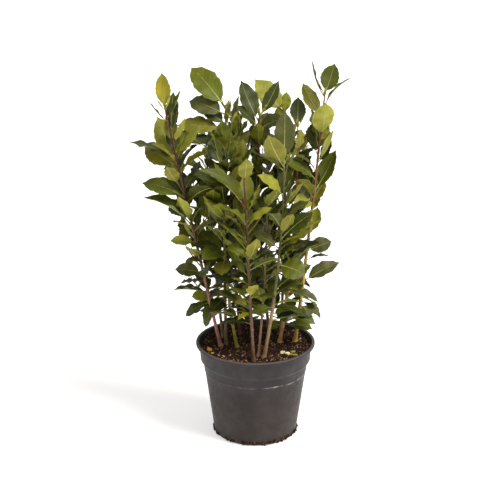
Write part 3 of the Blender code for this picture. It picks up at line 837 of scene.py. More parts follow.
def applied(obj):
    """The object with its modifiers' result as its plain mesh."""
    graph = bpy.context.evaluated_depsgraph_get()
    mesh = bpy.data.meshes.new_from_object(obj.evaluated_get(graph), depsgraph=graph)
    obj.modifiers.clear()
    old, obj.data = obj.data, mesh
    bpy.data.meshes.remove(old)
    return obj


def smooth(obj, degrees, material=None):
    """Smooth shading up to an angle, and the object's material if one is given."""
    obj.data.shade_smooth()
    obj.data.set_sharp_from_angle(angle=math.radians(degrees))
    if material:
        obj.data.materials.clear()
        obj.data.materials.append(material)
    return obj


def finish_piece(obj, slot, *nodes):
    """Rides the object's one body and stands for the given solids. The slot is not used."""
    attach(obj, "root")
    if nodes:
        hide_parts(*nodes)
    return obj


def forms_collection(name, objects):
    """The modelled forms, out of sight, for a tree or a cut to use."""
    collection = bpy.data.collections.new(name)
    for obj in objects:
        for old in list(obj.users_collection):
            old.objects.unlink(obj)
        collection.objects.link(obj)
    return collection


def drop_forms(*collections):
    for collection in collections:
        for obj in list(collection.objects):
            bpy.data.objects.remove(obj)
        bpy.data.collections.remove(collection)


# Node helpers


def feed(tree, socket, value):
    """Links a socket to another one, or sets its value. A colour of three shares is made opaque."""
    if isinstance(value, bpy.types.NodeSocket):
        tree.links.new(value, socket)
    elif socket.type == "RGBA" and len(value) == 3:
        socket.default_value = (*value, 1)
    else:
        socket.default_value = value


def add_node(tree, kind, inputs=None, **settings):
    """A node with its settings, and its inputs given by name."""
    made = tree.nodes.new(kind)
    for name, value in settings.items():
        setattr(made, name, value)
    for name, value in (inputs or {}).items():
        feed(tree, next(s for s in made.inputs if s.name == name and s.enabled), value)
    return made


def result_of(tree, kind, inputs=None, **settings):
    """The first output of such a node."""
    made = add_node(tree, kind, inputs, **settings)
    return next(socket for socket in made.outputs if socket.enabled)


def maths(tree, operation, *values):
    """One step of arithmetic, between sockets or numbers."""
    made = add_node(tree, "ShaderNodeMath", operation=operation)
    for socket, value in zip(made.inputs, values):
        feed(tree, socket, value)
    return made.outputs[0]


def product(tree, first, *others):
    for other in others:
        first = maths(tree, "MULTIPLY", first, other)
    return first


def total(tree, first, *others):
    for other in others:
        first = maths(tree, "ADD", first, other)
    return first


def mixed(tree, share, first, second, blend_type="MIX"):
    """A colour mix, whose share, first and second are sockets or values."""
    inputs = {"Factor": share, "A": first, "B": second}
    return result_of(tree, "ShaderNodeMix", inputs, data_type="RGBA", blend_type=blend_type)


def ranged(tree, value, low, high, to_low=0.0, to_high=1.0):
    """A value carried from one range to another, and held at both ends."""
    inputs = {"Value": value, "From Min": low, "From Max": high, "To Min": to_low, "To Max": to_high}
    return result_of(tree, "ShaderNodeMapRange", inputs, clamp=True)


def noise_value(tree, place, scale, detail=3.0):
    inputs = {"Vector": place, "Scale": scale, "Detail": detail, "Roughness": 0.55}
    return result_of(tree, "ShaderNodeTexNoise", inputs)


def object_place(tree):
    return tree.nodes.new("ShaderNodeTexCoord").outputs["Object"]


def parts_of(tree, vector):
    """The X, Y and Z of a vector."""
    return add_node(tree, "ShaderNodeSeparateXYZ", {"Vector": vector}).outputs


def new_tree(name, kind, sockets_in, sockets_out):
    """An empty tree with inputs (name, type, default) and outputs (name, type), and both its ends."""
    tree = bpy.data.node_groups.new(name, kind)
    for label, socket_type, default in sockets_in:
        socket = tree.interface.new_socket(label, in_out="INPUT", socket_type="NodeSocket" + socket_type)
        if default is not None:
            socket.default_value = default
    for label, socket_type in sockets_out:
        tree.interface.new_socket(label, in_out="OUTPUT", socket_type="NodeSocket" + socket_type)
    return tree, tree.nodes.new("NodeGroupInput").outputs, tree.nodes.new("NodeGroupOutput").inputs


# Shader groups that several finishes share

MIDDLING = (0.3, 0.7)


@lru_cache(maxsize=None)
def mottling_group():
    """A colour that drifts between itself, a darker and a paler shade."""
    sockets = [("Colour", "Color", (1, 1, 1, 1)), ("Scale", "Float", 100.0), ("Amount", "Float", 0.4)]
    group, given, made = new_tree("mottling", "ShaderNodeTree", sockets, [("Colour", "Color")])
    drift = noise_value(group, object_place(group), given["Scale"], 4.0)
    dark = mixed(group, 1.0, given["Colour"], (0.5, 0.5, 0.5), "MULTIPLY")
    pale = mixed(group, 1.0, given["Colour"], (1.5, 1.45, 1.4), "MULTIPLY")
    shade = mixed(group, ranged(group, drift, *MIDDLING), dark, pale)
    feed(group, made["Colour"], mixed(group, given["Amount"], given["Colour"], shade))
    return group


@lru_cache(maxsize=None)
def leaf_veins_group():
    """Side veins that run forward from the midrib to the margin, on the leaf's own map."""
    sockets = [("Rows", "Float", 9.0), ("Slant", "Float", 2.4), ("Width", "Float", 0.16)]
    results = [("Vein", "Float"), ("Margin", "Float")]
    group, given, made = new_tree("leaf veins", "ShaderNodeTree", sockets, results)
    place = parts_of(group, result_of(group, "ShaderNodeUVMap", uv_map="UVMap"))
    from_rib = maths(group, "ABSOLUTE", maths(group, "MULTIPLY_ADD", place["X"], 2.0, -1.0))
    rows = product(group, place["Y"], given["Rows"])
    lean = product(group, from_rib, given["Slant"])
    step = maths(group, "FRACT", maths(group, "SUBTRACT", rows, lean))
    away = maths(group, "ABSOLUTE", maths(group, "SUBTRACT", step, 0.5))
    vein = ranged(group, away, 0.0, given["Width"], 1.0, 0.0)
    feed(group, made["Vein"], product(group, vein, ranged(group, from_rib, 0.7, 1.0, 1.0, 0.0)))
    feed(group, made["Margin"], ranged(group, from_rib, 0.86, 1.0))
    return group


@lru_cache(maxsize=None)
def grain_group():
    """A fine uneven surface, as a height for a bump and a share for the gloss."""
    results = [("Height", "Float"), ("Gloss", "Float")]
    group, given, made = new_tree("fine grain", "ShaderNodeTree", [("Scale", "Float", 900.0)], results)
    place = object_place(group)
    feed(group, made["Height"], noise_value(group, place, given["Scale"], 2.0))
    feed(group, made["Gloss"], noise_value(group, place, product(group, given["Scale"], 0.12), 2.0))
    return group


def mottled(tree, colour, scale, amount):
    inputs = {"Colour": colour, "Scale": scale, "Amount": amount}
    return result_of(tree, "ShaderNodeGroup", inputs, node_tree=mottling_group())


def grained(tree, scale, low, high):
    """The fine grain's height, and a roughness that drifts with it between two values."""
    grain = add_node(tree, "ShaderNodeGroup", {"Scale": scale}, node_tree=grain_group()).outputs
    return grain["Height"], ranged(tree, grain["Gloss"], *MIDDLING, low, high)


# Materials


def new_material(name, colour, roughness, specular):
    """A material whose Principled shader waits for its colour, gloss and bump."""
    material = bpy.data.materials.new(name)
    material.use_nodes = True
    material.diffuse_color = (*colour, 1)
    shader = material.node_tree.nodes["Principled BSDF"]
    shader.inputs["Base Color"].default_value = (*colour, 1)
    shader.inputs["Roughness"].default_value = roughness
    shader.inputs["Metallic"].default_value = 0
    shader.inputs["Specular IOR Level"].default_value = specular
    return material, material.node_tree, shader.inputs


def finish_surface(tree, surface, colour, roughness, height, strength, depth):
    """Gives the shader its colour, its roughness and a bump of this height, strength and depth."""
    inputs = {"Height": height, "Strength": strength, "Distance": depth}
    feed(tree, surface["Normal"], result_of(tree, "ShaderNodeBump", inputs))
    feed(tree, surface["Base Color"], colour)
    feed(tree, surface["Roughness"], roughness)


@lru_cache(maxsize=None)
def leaf_material(tint, underside):
    """A leathery leaf face: veins and a paler margin on its own map, mottled, with a soft waxy gloss."""
    looks = bpy.context.scene.bay_leaves
    colour = linear(*TINTS[tint][underside])
    side, shine, duller, bump = LEAF_FACES[underside]
    material, tree, surface = new_material(f"leaf {tint} {side}", colour, 0.5, shine)
    veins = add_node(tree, "ShaderNodeGroup", node_tree=leaf_veins_group()).outputs
    paler = tuple(min(1.0, c * 1.5 + 0.02) for c in colour)
    veined = product(tree, veins["Vein"], looks.vein_strength)
    veined = mixed(tree, veined, mottled(tree, colour, 90.0, looks.mottling), paler)
    edged = mixed(tree, product(tree, veins["Margin"], 0.55), veined, paler)
    low = looks.gloss + duller
    height, roughness = grained(tree, 700.0, low, low + 0.16)
    height = total(tree, veins["Vein"], product(tree, height, 0.5))
    finish_surface(tree, surface, edged, roughness, height, bump, 0.4 * MM)
    return material


class Finish(NamedTuple):
    """How a plain colour drifts and how rough it is: fineness and share of each, and the bump."""

    specular: float
    mottling_fineness: float
    mottling: float
    grain_fineness: float
    glossier: float
    duller: float
    bump: float
    bump_depth: float


GREEN_WOOD = Finish(0.4, 220.0, 0.45, 1500.0, 0.06, 0.1, 0.2, 0.2 * MM)
PEAT = Finish(0.25, 420.0, 0.85, 1300.0, 0.14, 0.0, 0.8, 0.6 * MM)


@lru_cache(maxsize=None)
def drifting_material(name, colour, roughness, finish=GREEN_WOOD):
    """Stalks, ribs, twigs and buds, or peat and its crumbs: one colour that drifts, with a fine grain."""
    material, tree, surface = new_material(name, colour, roughness, finish.specular)
    drifting = mottled(tree, colour, finish.mottling_fineness, finish.mottling)
    low, high = roughness - finish.glossier, roughness + finish.duller
    height, gloss = grained(tree, finish.grain_fineness, low, high)
    finish_surface(tree, surface, drifting, gloss, height, finish.bump, finish.bump_depth)
    return material


def bark_material(number):
    """Young bark: one colour at the foot and another at the tip, with pale specks and long grain."""
    foot, tip = (linear(*colour) for colour in BARK[number])
    line = whole_plant().lines[number]
    material, tree, surface = new_material(f"bark {number + 1:02d}", foot, 0.5, 0.4)
    place = object_place(tree)
    uneven = product(tree, noise_value(tree, place, 40.0), 0.08)
    height = total(tree, parts_of(tree, place)["Z"], uneven)
    turns_at = [blend(line.start.z, line.end.z, share) for share in BARK_TURNS]
    colour = mottled(tree, mixed(tree, ranged(tree, height, *turns_at), foot, tip), 260.0, 0.6)
    stretch = result_of(tree, "ShaderNodeMapping", {"Vector": place, "Scale": (900.0, 900.0, 120.0)})
    grain = noise_value(tree, stretch, 1.0)
    specks = ranged(tree, noise_value(tree, place, 700.0, 1.0), 0.68, 0.74)
    speckled = mixed(tree, product(tree, specks, 0.5), colour, BARK_SPECK)
    roughness = ranged(tree, grain, *MIDDLING, 0.4, 0.62)
    finish_surface(tree, surface, speckled, roughness, total(tree, grain, specks), 0.35, 0.3 * MM)
    return material


def scuff_mask(tree, place, level, half_width):
    """Where the ledge is scuffed pale: in broken dashes, and plainest on its right half."""
    ledge = POT_HEIGHT - LEDGE_DEPTH - LEDGE_HEIGHT / 2
    off = maths(tree, "ABSOLUTE", maths(tree, "SUBTRACT", level, ledge))
    line = ranged(tree, off, 0.1 * MM, half_width, 1.0, 0.0)
    broken = ranged(tree, noise_value(tree, place, 110.0, 5.0), 0.4, 0.66)
    near = ranged(tree, parts_of(tree, place)["X"], *SCUFF_SIDE)
    return product(tree, line, broken, ranged(tree, near, 0, 1, SCUFF_ELSEWHERE, 1.0))


def pot_material():
    """Moulded dark plastic: faint mould lines, a scuffed ledge, dust, soil dirt at the foot and lip, and a
    paler lip top that is painted light.
    """
    looks = bpy.context.scene.bay_pot
    plastic = tuple(looks.colour)
    material, tree, surface = new_material("pot plastic", plastic, looks.roughness, 0.25)
    place = object_place(tree)
    up = parts_of(tree, place)["Z"]
    warm, cool = (tuple(c * k for c, k in zip(plastic, shift)) for shift in (POT_WARM, POT_COOL))
    tone = mixed(tree, ranged(tree, up, WARM_UP_TO, COOL_FROM), warm, cool)
    cloud = product(tree, ranged(tree, noise_value(tree, place, 55.0, 5.0), 0.42, 0.75), looks.dust)
    colour = mixed(tree, cloud, mottled(tree, tone, 22.0, 0.5), DUST)

    wander = product(tree, maths(tree, "SUBTRACT", noise_value(tree, place, 30.0), 0.5), 4 * MM)
    level = total(tree, up, wander)
    scuff = scuff_mask(tree, place, level, looks.scuff_width)
    colour = mixed(tree, scuff, colour, SCUFF)

    # Painted light: the top of the lip is painted paler, as though light caught it. The same band also takes
    # a little soil dirt below
    lip = ranged(tree, up, POT_HEIGHT - LIP_ROUND, POT_HEIGHT - 0.2 * LIP_ROUND)
    colour = mixed(tree, product(tree, lip, 0.75), colour, PAINTED_LIP_LIGHT)
    stains = ranged(tree, noise_value(tree, place, 120.0, 4.0), 0.4, 0.62)
    foot_dirt = product(tree, ranged(tree, up, *FOOT_DIRT, 1.0, 0.0), stains)
    dirt = maths(tree, "MAXIMUM", foot_dirt, product(tree, lip, stains, 0.3))
    colour = mixed(tree, product(tree, dirt, 0.8), colour, POT_DIRT)

    height, gloss = grained(tree, 1400.0, looks.roughness - 0.06, looks.roughness + 0.1)
    roughness = total(tree, gloss, product(tree, dirt, 0.3))
    rings = maths(tree, "SINE", product(tree, level, MOULD_RINGS))
    relief = total(tree, product(tree, rings, 0.25), height, scuff)
    finish_surface(tree, surface, colour, roughness, relief, 0.25, 0.2 * MM)
    return material


def floor_material(glow):
    """Pale matt studio floor, lit a little from within like a light table."""
    material, tree, surface = new_material("studio floor", FLOOR_PALE, 0.9, 0.1)
    feed(tree, surface["Base Color"], mottled(tree, FLOOR_PALE, 3.0, 0.01))
    surface["Emission Color"].default_value = (1, 1, 1, 1)
    surface["Emission Strength"].default_value = glow
    return material


# Geometry node trees


def new_geometry_tree(name, *sockets):
    """An empty Geometry Nodes tree with the given inputs (name, type, default)."""
    sockets = [("Geometry", "Geometry", None), ("Forms", "Collection", None), *sockets]
    tree, given, made = new_tree(name, "GeometryNodeTree", sockets, [("Geometry", "Geometry")])
    tree.is_modifier = True
    return tree, given, made["Geometry"]


def grown(obj, tree, values):
    """Gives the object the tree with these values, and keeps the result as its plain mesh."""
    modifier = obj.modifiers.new("grow", "NODES")
    modifier.node_group = tree
    for item in tree.interface.items_tree:
        if item.item_type == "SOCKET" and item.in_out == "INPUT" and item.name in values:
            modifier[item.identifier] = values[item.name]
    return applied(obj)


def named_value(tree, kind, name):
    return result_of(tree, "GeometryNodeInputNamedAttribute", {"Name": name}, data_type=kind)


def chosen_forms(tree, forms, points, index, rotation, scale):
    """One of the collection's forms on every point, as real geometry."""
    inputs = {"Collection": forms, "Separate Children": True, "Reset Children": True}
    inputs = {
        "Points": points,
        "Instance": result_of(tree, "GeometryNodeCollectionInfo", inputs),
        "Pick Instance": True,
        "Instance Index": index,
        "Rotation": rotation,
        "Scale": scale,
    }
    placed = result_of(tree, "GeometryNodeInstanceOnPoints", inputs)
    return result_of(tree, "GeometryNodeRealizeInstances", {"Geometry": placed})


def forms_on_leaves(tree, given):
    """Each leaf's own form, turned and stretched as the leaf's point says."""
    turn, size = named_value(tree, "QUATERNION", "turn"), named_value(tree, "FLOAT_VECTOR", "size")
    index = named_value(tree, "INT", "form")
    return chosen_forms(tree, given["Forms"], given["Geometry"], index, turn, size)


def painted(tree, geometry, material, selection=True):
    inputs = {"Geometry": geometry, "Material": material, "Selection": selection}
    return result_of(tree, "GeometryNodeSetMaterial", inputs)


@lru_cache(maxsize=1)
def leaf_tree():
    """Sets a leaf form on every point and paints both its faces by the leaf's tint."""
    tree, given, made = new_geometry_tree("leaves on shoots")
    geometry = forms_on_leaves(tree, given)
    tint, face = named_value(tree, "INT", "tint"), named_value(tree, "INT", "face")
    code = maths(tree, "MULTIPLY_ADD", tint, 2.0, face)
    for index, name in enumerate(TINTS):
        for side in (0, 1):
            inputs = {"A": code, "B": 2 * index + side}
            here = result_of(tree, "FunctionNodeCompare", inputs, data_type="INT", operation="EQUAL")
            geometry = painted(tree, geometry, leaf_material(name, side), here)
    feed(tree, made, geometry)
    return tree


@lru_cache(maxsize=1)
def rib_tree():
    """Sets a rib, stalk or bud form on every point in the same way, in one material."""
    tree, given, made = new_geometry_tree("ribs on leaves", ("Material", "Material", None))
    feed(tree, made, painted(tree, forms_on_leaves(tree, given), given["Material"]))
    return tree


@lru_cache(maxsize=1)
def scatter_tree():
    """Strews forms at random over a surface, each turned and sized at random."""
    tree, given, made = new_geometry_tree(
        "strewn crumbs",
        ("Density", "Float", 100000.0),
        ("Smallest", "Float", 0.5),
        ("Largest", "Float", 1.0),
        ("Tilt", "Float", ANY_TILT),
        ("Seed", "Int", 1),
        ("Material", "Material", None),
    )
    tilt, seed = given["Tilt"], given["Seed"]
    inputs = {"Mesh": given["Geometry"], "Density": given["Density"], "Seed": seed}
    points = add_node(tree, "GeometryNodeDistributePointsOnFaces", inputs, distribute_method="RANDOM")
    back = product(tree, tilt, -1.0)
    low = result_of(tree, "ShaderNodeCombineXYZ", {"X": back, "Y": back, "Z": -ANY_SPIN})
    high = result_of(tree, "ShaderNodeCombineXYZ", {"X": tilt, "Y": tilt, "Z": ANY_SPIN})
    inputs = {"Min": low, "Max": high, "Seed": seed}
    spin = result_of(tree, "FunctionNodeRandomValue", inputs, data_type="FLOAT_VECTOR")
    inputs = {"Min": given["Smallest"], "Max": given["Largest"], "Seed": seed}
    size = result_of(tree, "FunctionNodeRandomValue", inputs, data_type="FLOAT")
    pick = result_of(tree, "FunctionNodeRandomValue", {"Min": 0, "Max": FORM_PICKS}, data_type="INT")
    whole = chosen_forms(tree, given["Forms"], points.outputs["Points"], pick, spin, size)
    feed(tree, made, painted(tree, whole, given["Material"]))
    return tree


# Pot


def rounded(centre_radius, centre_depth, size, start, end, steps):
    """Points of a round edge in the pot's profile, between two angles from straight out, in degrees."""
    points = []
    for step in range(steps + 1):
        angle = math.radians(blend(start, end, step / steps))
        points.append((centre_radius + size * math.cos(angle), centre_depth + size * math.sin(angle)))
    return points


def eased(top, foot, steps):
    """A soft shoulder between two (radius, depth) points."""
    points = []
    for step in range(steps + 1):
        share = step / steps
        ease = blend(share, share * share * (3 - 2 * share), SHOULDER_EASE)
        points.append((blend(top[0], foot[0], ease), blend(top[1], foot[1], share)))
    return points


def pot_outside():
    """The outer side of the pot's wall, top to bottom, as (radius, depth)."""
    ledge_foot = (WALL_TOP_RADIUS, LEDGE_DEPTH + LEDGE_HEIGHT)
    wall_foot = (WALL_FOOT_RADIUS, POT_HEIGHT - POT_FOOT_ROUND)
    foot_centre = WALL_FOOT_RADIUS - POT_FOOT_ROUND
    points = rounded(LIP_RADIUS - LIP_ROUND, LIP_ROUND, LIP_ROUND, -90, 0, 5)
    points += rounded(LIP_RADIUS - LIP_ROUND, LIP_DEPTH - LIP_ROUND, LIP_ROUND, 0, 90, 5)
    points += [(COLLAR_TOP_RADIUS + 0.7 * MM, LIP_DEPTH + 0.3 * MM)]
    points += [(COLLAR_TOP_RADIUS, COLLAR_TOP_DEPTH)]
    points += eased((COLLAR_FOOT_RADIUS, COLLAR_DEPTH), (STEP_RADIUS, STEP_DEPTH), 6)
    points += [(LEDGE_RADIUS + 0.3 * MM, LEDGE_DEPTH - 1 * MM), (LEDGE_RADIUS, LEDGE_DEPTH)]
    points += eased((LEDGE_RADIUS, LEDGE_DEPTH + 0.3 * MM), ledge_foot, 3)
    points += [tuple(blend(a, b, k / 8) for a, b in zip(ledge_foot, wall_foot)) for k in range(1, 8)]
    points += rounded(foot_centre, POT_HEIGHT - POT_FOOT_ROUND, POT_FOOT_ROUND, 0, 90, 6)
    return points


def pot_inside():
    """The inner side of the same wall, bottom to top."""
    return [
        (WALL_FOOT_RADIUS - POT_FOOT_ROUND, POT_HEIGHT - POT_FLOOR),
        (WALL_FOOT_RADIUS - POT_WALL, POT_HEIGHT - POT_FOOT_ROUND - POT_WALL),
        (WALL_TOP_RADIUS - POT_WALL, LEDGE_DEPTH + LEDGE_HEIGHT),
        (LEDGE_RADIUS - POT_WALL, LEDGE_DEPTH),
        (STEP_RADIUS - POT_WALL, STEP_DEPTH + POT_WALL / 2),
        (COLLAR_FOOT_RADIUS - POT_WALL, COLLAR_DEPTH),
        (COLLAR_TOP_RADIUS - POT_WALL, COLLAR_TOP_DEPTH),
        (LIP_INNER_RADIUS - 0.3 * MM, LIP_DEPTH - 1 * MM),
        (LIP_INNER_RADIUS, LIP_ROUND),
        (LIP_INNER_RADIUS + 0.2 * MM, 0.5 * MM),
        (LIP_INNER_RADIUS + 0.7 * MM, 0),
    ]


def drain_cutter(angle):
    work = bmesh.new()
    place = Matrix.Translation((DRAIN_RING * math.cos(angle), DRAIN_RING * math.sin(angle), 0))
    size = {"radius1": DRAIN_RADIUS, "radius2": DRAIN_RADIUS, "depth": 6 * POT_FLOOR}
    bmesh.ops.create_cone(work, cap_ends=True, segments=28, matrix=place, **size)
    return built("drain cutter", work)


def make_pot(sides):
    """The pot turned from one profile, with its ring of drain holes cut through the floor."""
    turned = [(radius, POT_HEIGHT - depth) for radius, depth in pot_inside() + pot_outside()]
    profile = [(radius, 0, height) for radius, height in [(0, POT_FLOOR), *turned, (0, 0)]]
    pot = mesh_object("nursery_pot", profile, [], [(k, k + 1) for k in range(len(profile) - 1)])
    turn = pot.modifiers.new("turn", "SCREW")
    turn.steps = turn.render_steps = sides
    turn.use_merge_vertices = True
    turn.merge_threshold = POT_MERGE
    angles = around(DRAIN_HOLES, 0.5)
    cutters = forms_collection("drain cutters", [drain_cutter(angle) for angle in angles])
    drain = pot.modifiers.new("drain", "BOOLEAN")
    drain.operand_type = "COLLECTION"
    drain.collection = cutters
    applied(pot)
    drop_forms(cutters)
    finish_piece(smooth(pot, 40, pot_material()), "pot_plastic", "pot")


# Compost


def rough_height(x, y):
    """The compost's fine surface: its swell with clods and crumbs, banked up at the wall."""
    place = Vector((x, y, 0))
    clods = noise.fractal(place * CLOD_FINENESS, 0.9, 2.0, 3)
    crumbs = noise.noise(place * CRUMB_FINENESS)
    outwards = max(0.0, (place.length - BANK_FROM) / (COMPOST_EDGE - BANK_FROM))
    bank = BANK_HEIGHT * outwards * blend(1.0, BANK_AT_BACK, (1 + y / COMPOST_EDGE) / 2)
    return compost_height(x, y) + bank + 0.5 * MM + clods * 0.9 * MM + crumbs * 0.45 * MM


def compost_surface(rings, spokes):
    """The compost's top as rings of points round the middle, out to the pot's wall."""
    verts = [(0, 0, rough_height(0, 0))]
    for ring in range(1, rings + 1):
        radius = COMPOST_EDGE * ring / rings
        for angle in around(spokes):
            x, y = radius * math.cos(angle), radius * math.sin(angle)
            verts.append((x, y, rough_height(x, y)))
    middle = [(0, 1 + k, 1 + (k + 1) % spokes) for k in range(spokes)]
    return verts, middle + band_faces(rings, spokes, 1, True)


def closed_below(verts, faces, spokes, depth):
    """The same surface with a side and a flat floor, so that it is one closed body."""
    rim = len(verts) - spokes
    floor = tuple(reversed(range(len(verts), len(verts) + spokes)))
    verts = verts + [(x, y, depth) for x, y, _ in verts[rim:]]
    return verts, faces + band_faces(2, spokes, rim, True) + [floor]


def crumb_forms(name, count, size, seed, longer=1.0):
    """Several uneven crumbs of about the given size, or chips where they are longer than wide."""
    rng = random.Random(seed)
    forms = []
    for index in range(count):
        work = bmesh.new()
        bmesh.ops.create_icosphere(work, subdivisions=1, radius=size / 2)
        x, y, z = (rng.uniform(*spread) for spread in CRUMB_STRETCH)
        stretch = Vector((x * longer, y, z))
        for vert in work.verts:
            vert.co = Vector(a * b for a, b in zip(vert.co, stretch)) * rng.uniform(*CRUMB_DENTS)
        forms.append(built(f"{name} {index}", work))
    return forms_collection(name, forms)


def fibre_forms(count, length, radius, seed, steps=5):
    """Short bent fibres, thin and three-sided."""
    rng = random.Random(seed)
    forms = []
    for index in range(count):
        bend = rng.uniform(-0.35, 0.35) * length
        kink = rng.uniform(-0.15, 0.15) * length
        verts = []
        for step in range(steps + 1):
            share = step / steps
            x = (share - 0.5) * length
            y = bend * 4 * share * (1 - share) + kink * math.sin(share * 6.3)
            z = 0.12 * length * share * (1 - share)
            verts += ring_points(Vector((x, y, z)), radius, 3, UPRIGHT)
        forms.append(mesh_object(f"fibre {index}", verts, tube_faces(steps + 1, 3)))
    return forms_collection("fibres", forms)


def strew(name, surface, forms, material, density, sizes, seed, tilt=ANY_TILT):
    """One strewn piece over a surface (points, faces)."""
    values = {
        "Forms": forms,
        "Density": density,
        "Smallest": sizes[0],
        "Largest": sizes[1],
        "Tilt": tilt,
        "Seed": seed,
        "Material": material,
    }
    finish_piece(grown(mesh_object(name, *surface), scatter_tree(), values), "compost")


def foot_band(spokes=72):
    """A broken narrow band that follows the round under edge of the pot, where crumbs cling."""
    verts = []
    for angle_up in FOOT_BAND_ANGLES:
        up = math.radians(90 - angle_up)
        radius = WALL_FOOT_RADIUS - POT_FOOT_ROUND + POT_FOOT_ROUND * math.sin(up) + FOOT_BAND_OUT
        height = POT_FOOT_ROUND - POT_FOOT_ROUND * math.cos(up) + FOOT_BAND_UP
        verts += [(radius * math.cos(a), radius * math.sin(a), height) for a in around(spokes)]

    def holds_dirt(spoke):
        angle = spoke * SPOKE_ANGLE
        place = Vector((math.cos(angle), math.sin(angle), 0)) * CLUMPS
        return noise.noise(place) > FOOT_BARE_BELOW

    faces = band_faces(len(FOOT_BAND_ANGLES), spokes)
    return verts, [face for face in faces if holds_dirt(face[0] % spokes)]


def make_compost(looks):
    """The compost's surface, with its crumbs, bits and fibres, and those that cling to the pot's foot."""
    peat = tuple(looks.colour)
    dark = drifting_material("dark peat", tuple(c * 0.35 for c in peat), 0.92, PEAT)
    brown = drifting_material("brown peat", peat, 0.92, PEAT)
    light = drifting_material("light bark bits", BARK_BITS, 0.92, PEAT)
    straw = drifting_material("straw fibre", STRAW, 0.8, PEAT)
    rust = drifting_material("rusty bits", RUST, 0.92, PEAT)
    solid = frame["nodes"]["compost"]
    solid.data.materials.clear()
    solid.data.materials.append(dark)
    surface = compost_surface(looks.rings, looks.spokes)
    body = closed_below(*surface, looks.spokes, COMPOST_TOP - COMPOST_CRUST)
    finish_piece(smooth(mesh_object("compost_top", *body), 60, dark), "compost")
    crumbs = crumb_forms("crumbs", 8, looks.crumb_size, 5)
    chips = crumb_forms("chips", 8, looks.crumb_size * 0.6, 9, 2.2)
    fibres = fibre_forms(6, looks.fibre_length, 0.2 * MM, 8)
    band = foot_band()
    full = looks.density
    strew("dark_crumbs", surface, crumbs, dark, full, (0.5, 1.5), 3)
    strew("brown_crumbs", surface, crumbs, brown, full * 0.7, (0.4, 1.4), 4)
    strew("bark_bits", surface, chips, light, full * 0.14, (0.4, 1.6), 5, tilt=0.5)
    strew("fibres", surface, fibres, straw, full * 0.16, (0.4, 1.2), 7, tilt=0.35)
    strew("foot_crumbs", band, crumbs, dark, full * 1.3, (0.6, 2.1), 6)
    strew("foot_bits", band, chips, rust, full * 0.5, (0.5, 1.8), 10)
    strew("foot_fibres", band, fibres, brown, full * 0.7, (0.3, 0.9), 11)
    drop_forms(crumbs, chips, fibres)


# Lumps and chips that lie on the compost, each spot as x, y and size in mm, and their colour.
# How a lump lies and how it is shaped are shares of its size
LUMPS = {
    "ochre lump": (((-49.6, -18, 5.2), (-47, -26, 4.0)), (204, 158, 84)),
    "tan pebbles": (((-40, -33, 2.8), (-33.4, -37.2, 3.2), (-27.6, -30, 2.4)), (206, 168, 140)),
    "pale lumps": (((30.6, -21, 4.8), (34.6, -26, 4.8), (29, -24.5, 3.4)), (236, 224, 176)),
    "mossy lumps": (((40.9, -21, 4.6), (42.7, -32, 4.4), (38.6, -27.5, 3.6)), (150, 148, 66)),
    "white grit": (((50, 20, 2.4), (50.6, 11.8, 2.0), (-20, -18, 1.6), (12, -40, 1.5)), (214, 206, 190)),
    "tan chip": (((49.5, 16, 3.4), (-44, -2, 2.6)), (168, 118, 84)),
}
LARGE_LUMP = 3.5
LUMP_ASTRAY = 0.3
LUMP_ABOVE = 0.2
LUMP_RADIUS = 0.36
LUMP_DENT = 0.45
LUMP_WIDE = 1.25
LUMP_HIGH = 0.8


def add_lump(work, rng, x, y, size):
    """One dented lump at a random place near its spot. A large one is made of three."""
    for _ in range(3 if size > LARGE_LUMP else 1):
        aside, behind = (rng.uniform(-1, 1) * size * LUMP_ASTRAY for _ in "xy")
        near = Vector((x + aside, y + behind, 0)) * MM
        near.z = rough_height(near.x, near.y) + size * LUMP_ABOVE * MM
        made = bmesh.ops.create_icosphere(work, subdivisions=2, radius=size * LUMP_RADIUS * MM)
        for vert in made["verts"]:
            dent = 1 + LUMP_DENT * noise.noise(vert.co * 900 + near * 300)
            vert.co = Vector((vert.co.x * LUMP_WIDE, vert.co.y, vert.co.z * LUMP_HIGH)) * dent + near


def make_lumps():
    """The pale and yellow lumps and chips that lie on the compost, each where it shows."""
    rng = random.Random(41)
    for name, (spots, colour) in LUMPS.items():
        work = bmesh.new()
        for x, y, size in spots:
            add_lump(work, rng, x, y, size)
        material = drifting_material(name, linear(*colour), 0.8, PEAT)
        finish_piece(smooth(built(name.replace(" ", "_"), work), 50, material), "compost")


# Bark


def stem_relief(line, height, scars):
    """How much a stem swells at a height: the root flare and a ring at each leaf."""
    flare = FLARE * math.exp(-(height - line.start.z) / FLARE_HEIGHT)
    near = [height - scar for scar in scars if abs(height - scar) < LEAF_RING_REACH]
    ring = sum(math.exp(-((off / LEAF_RING_HEIGHT) ** 2)) for off in near)
    return 1 + flare + LEAF_RING * min(1.0, ring)


def make_bark(number, settings):
    """One stem from its flat foot to its growing tip, with leaf rings and an uneven skin."""
    plant = whole_plant()
    line = plant.lines[number]
    scars = sorted({round(root.z, 4) for _, root in plant.leaves[number]})
    rings = int((line.end.z - line.start.z) / settings.ring_step)
    skin = Skin(settings.relief, 160, 1.7, number)
    verts = []
    for ring in range(rings + 1):
        share = ring / rings
        centre = line.at(share)
        radius = line.radius(share) * stem_relief(line, centre.z, scars)
        if ring <= 1:
            centre.xy = line.start.xy
        if ring > rings - 3:
            radius *= (rings - ring + 1) / 4
        verts += ring_points(centre, radius, settings.sides, skin=skin)
    obj = mesh_object(f"bark_{number + 1:02d}", verts, tube_faces(rings + 1, settings.sides))
    finish_piece(smooth(obj, 70, bark_material(number)), "bark", f"stem_{number + 1:02d}")


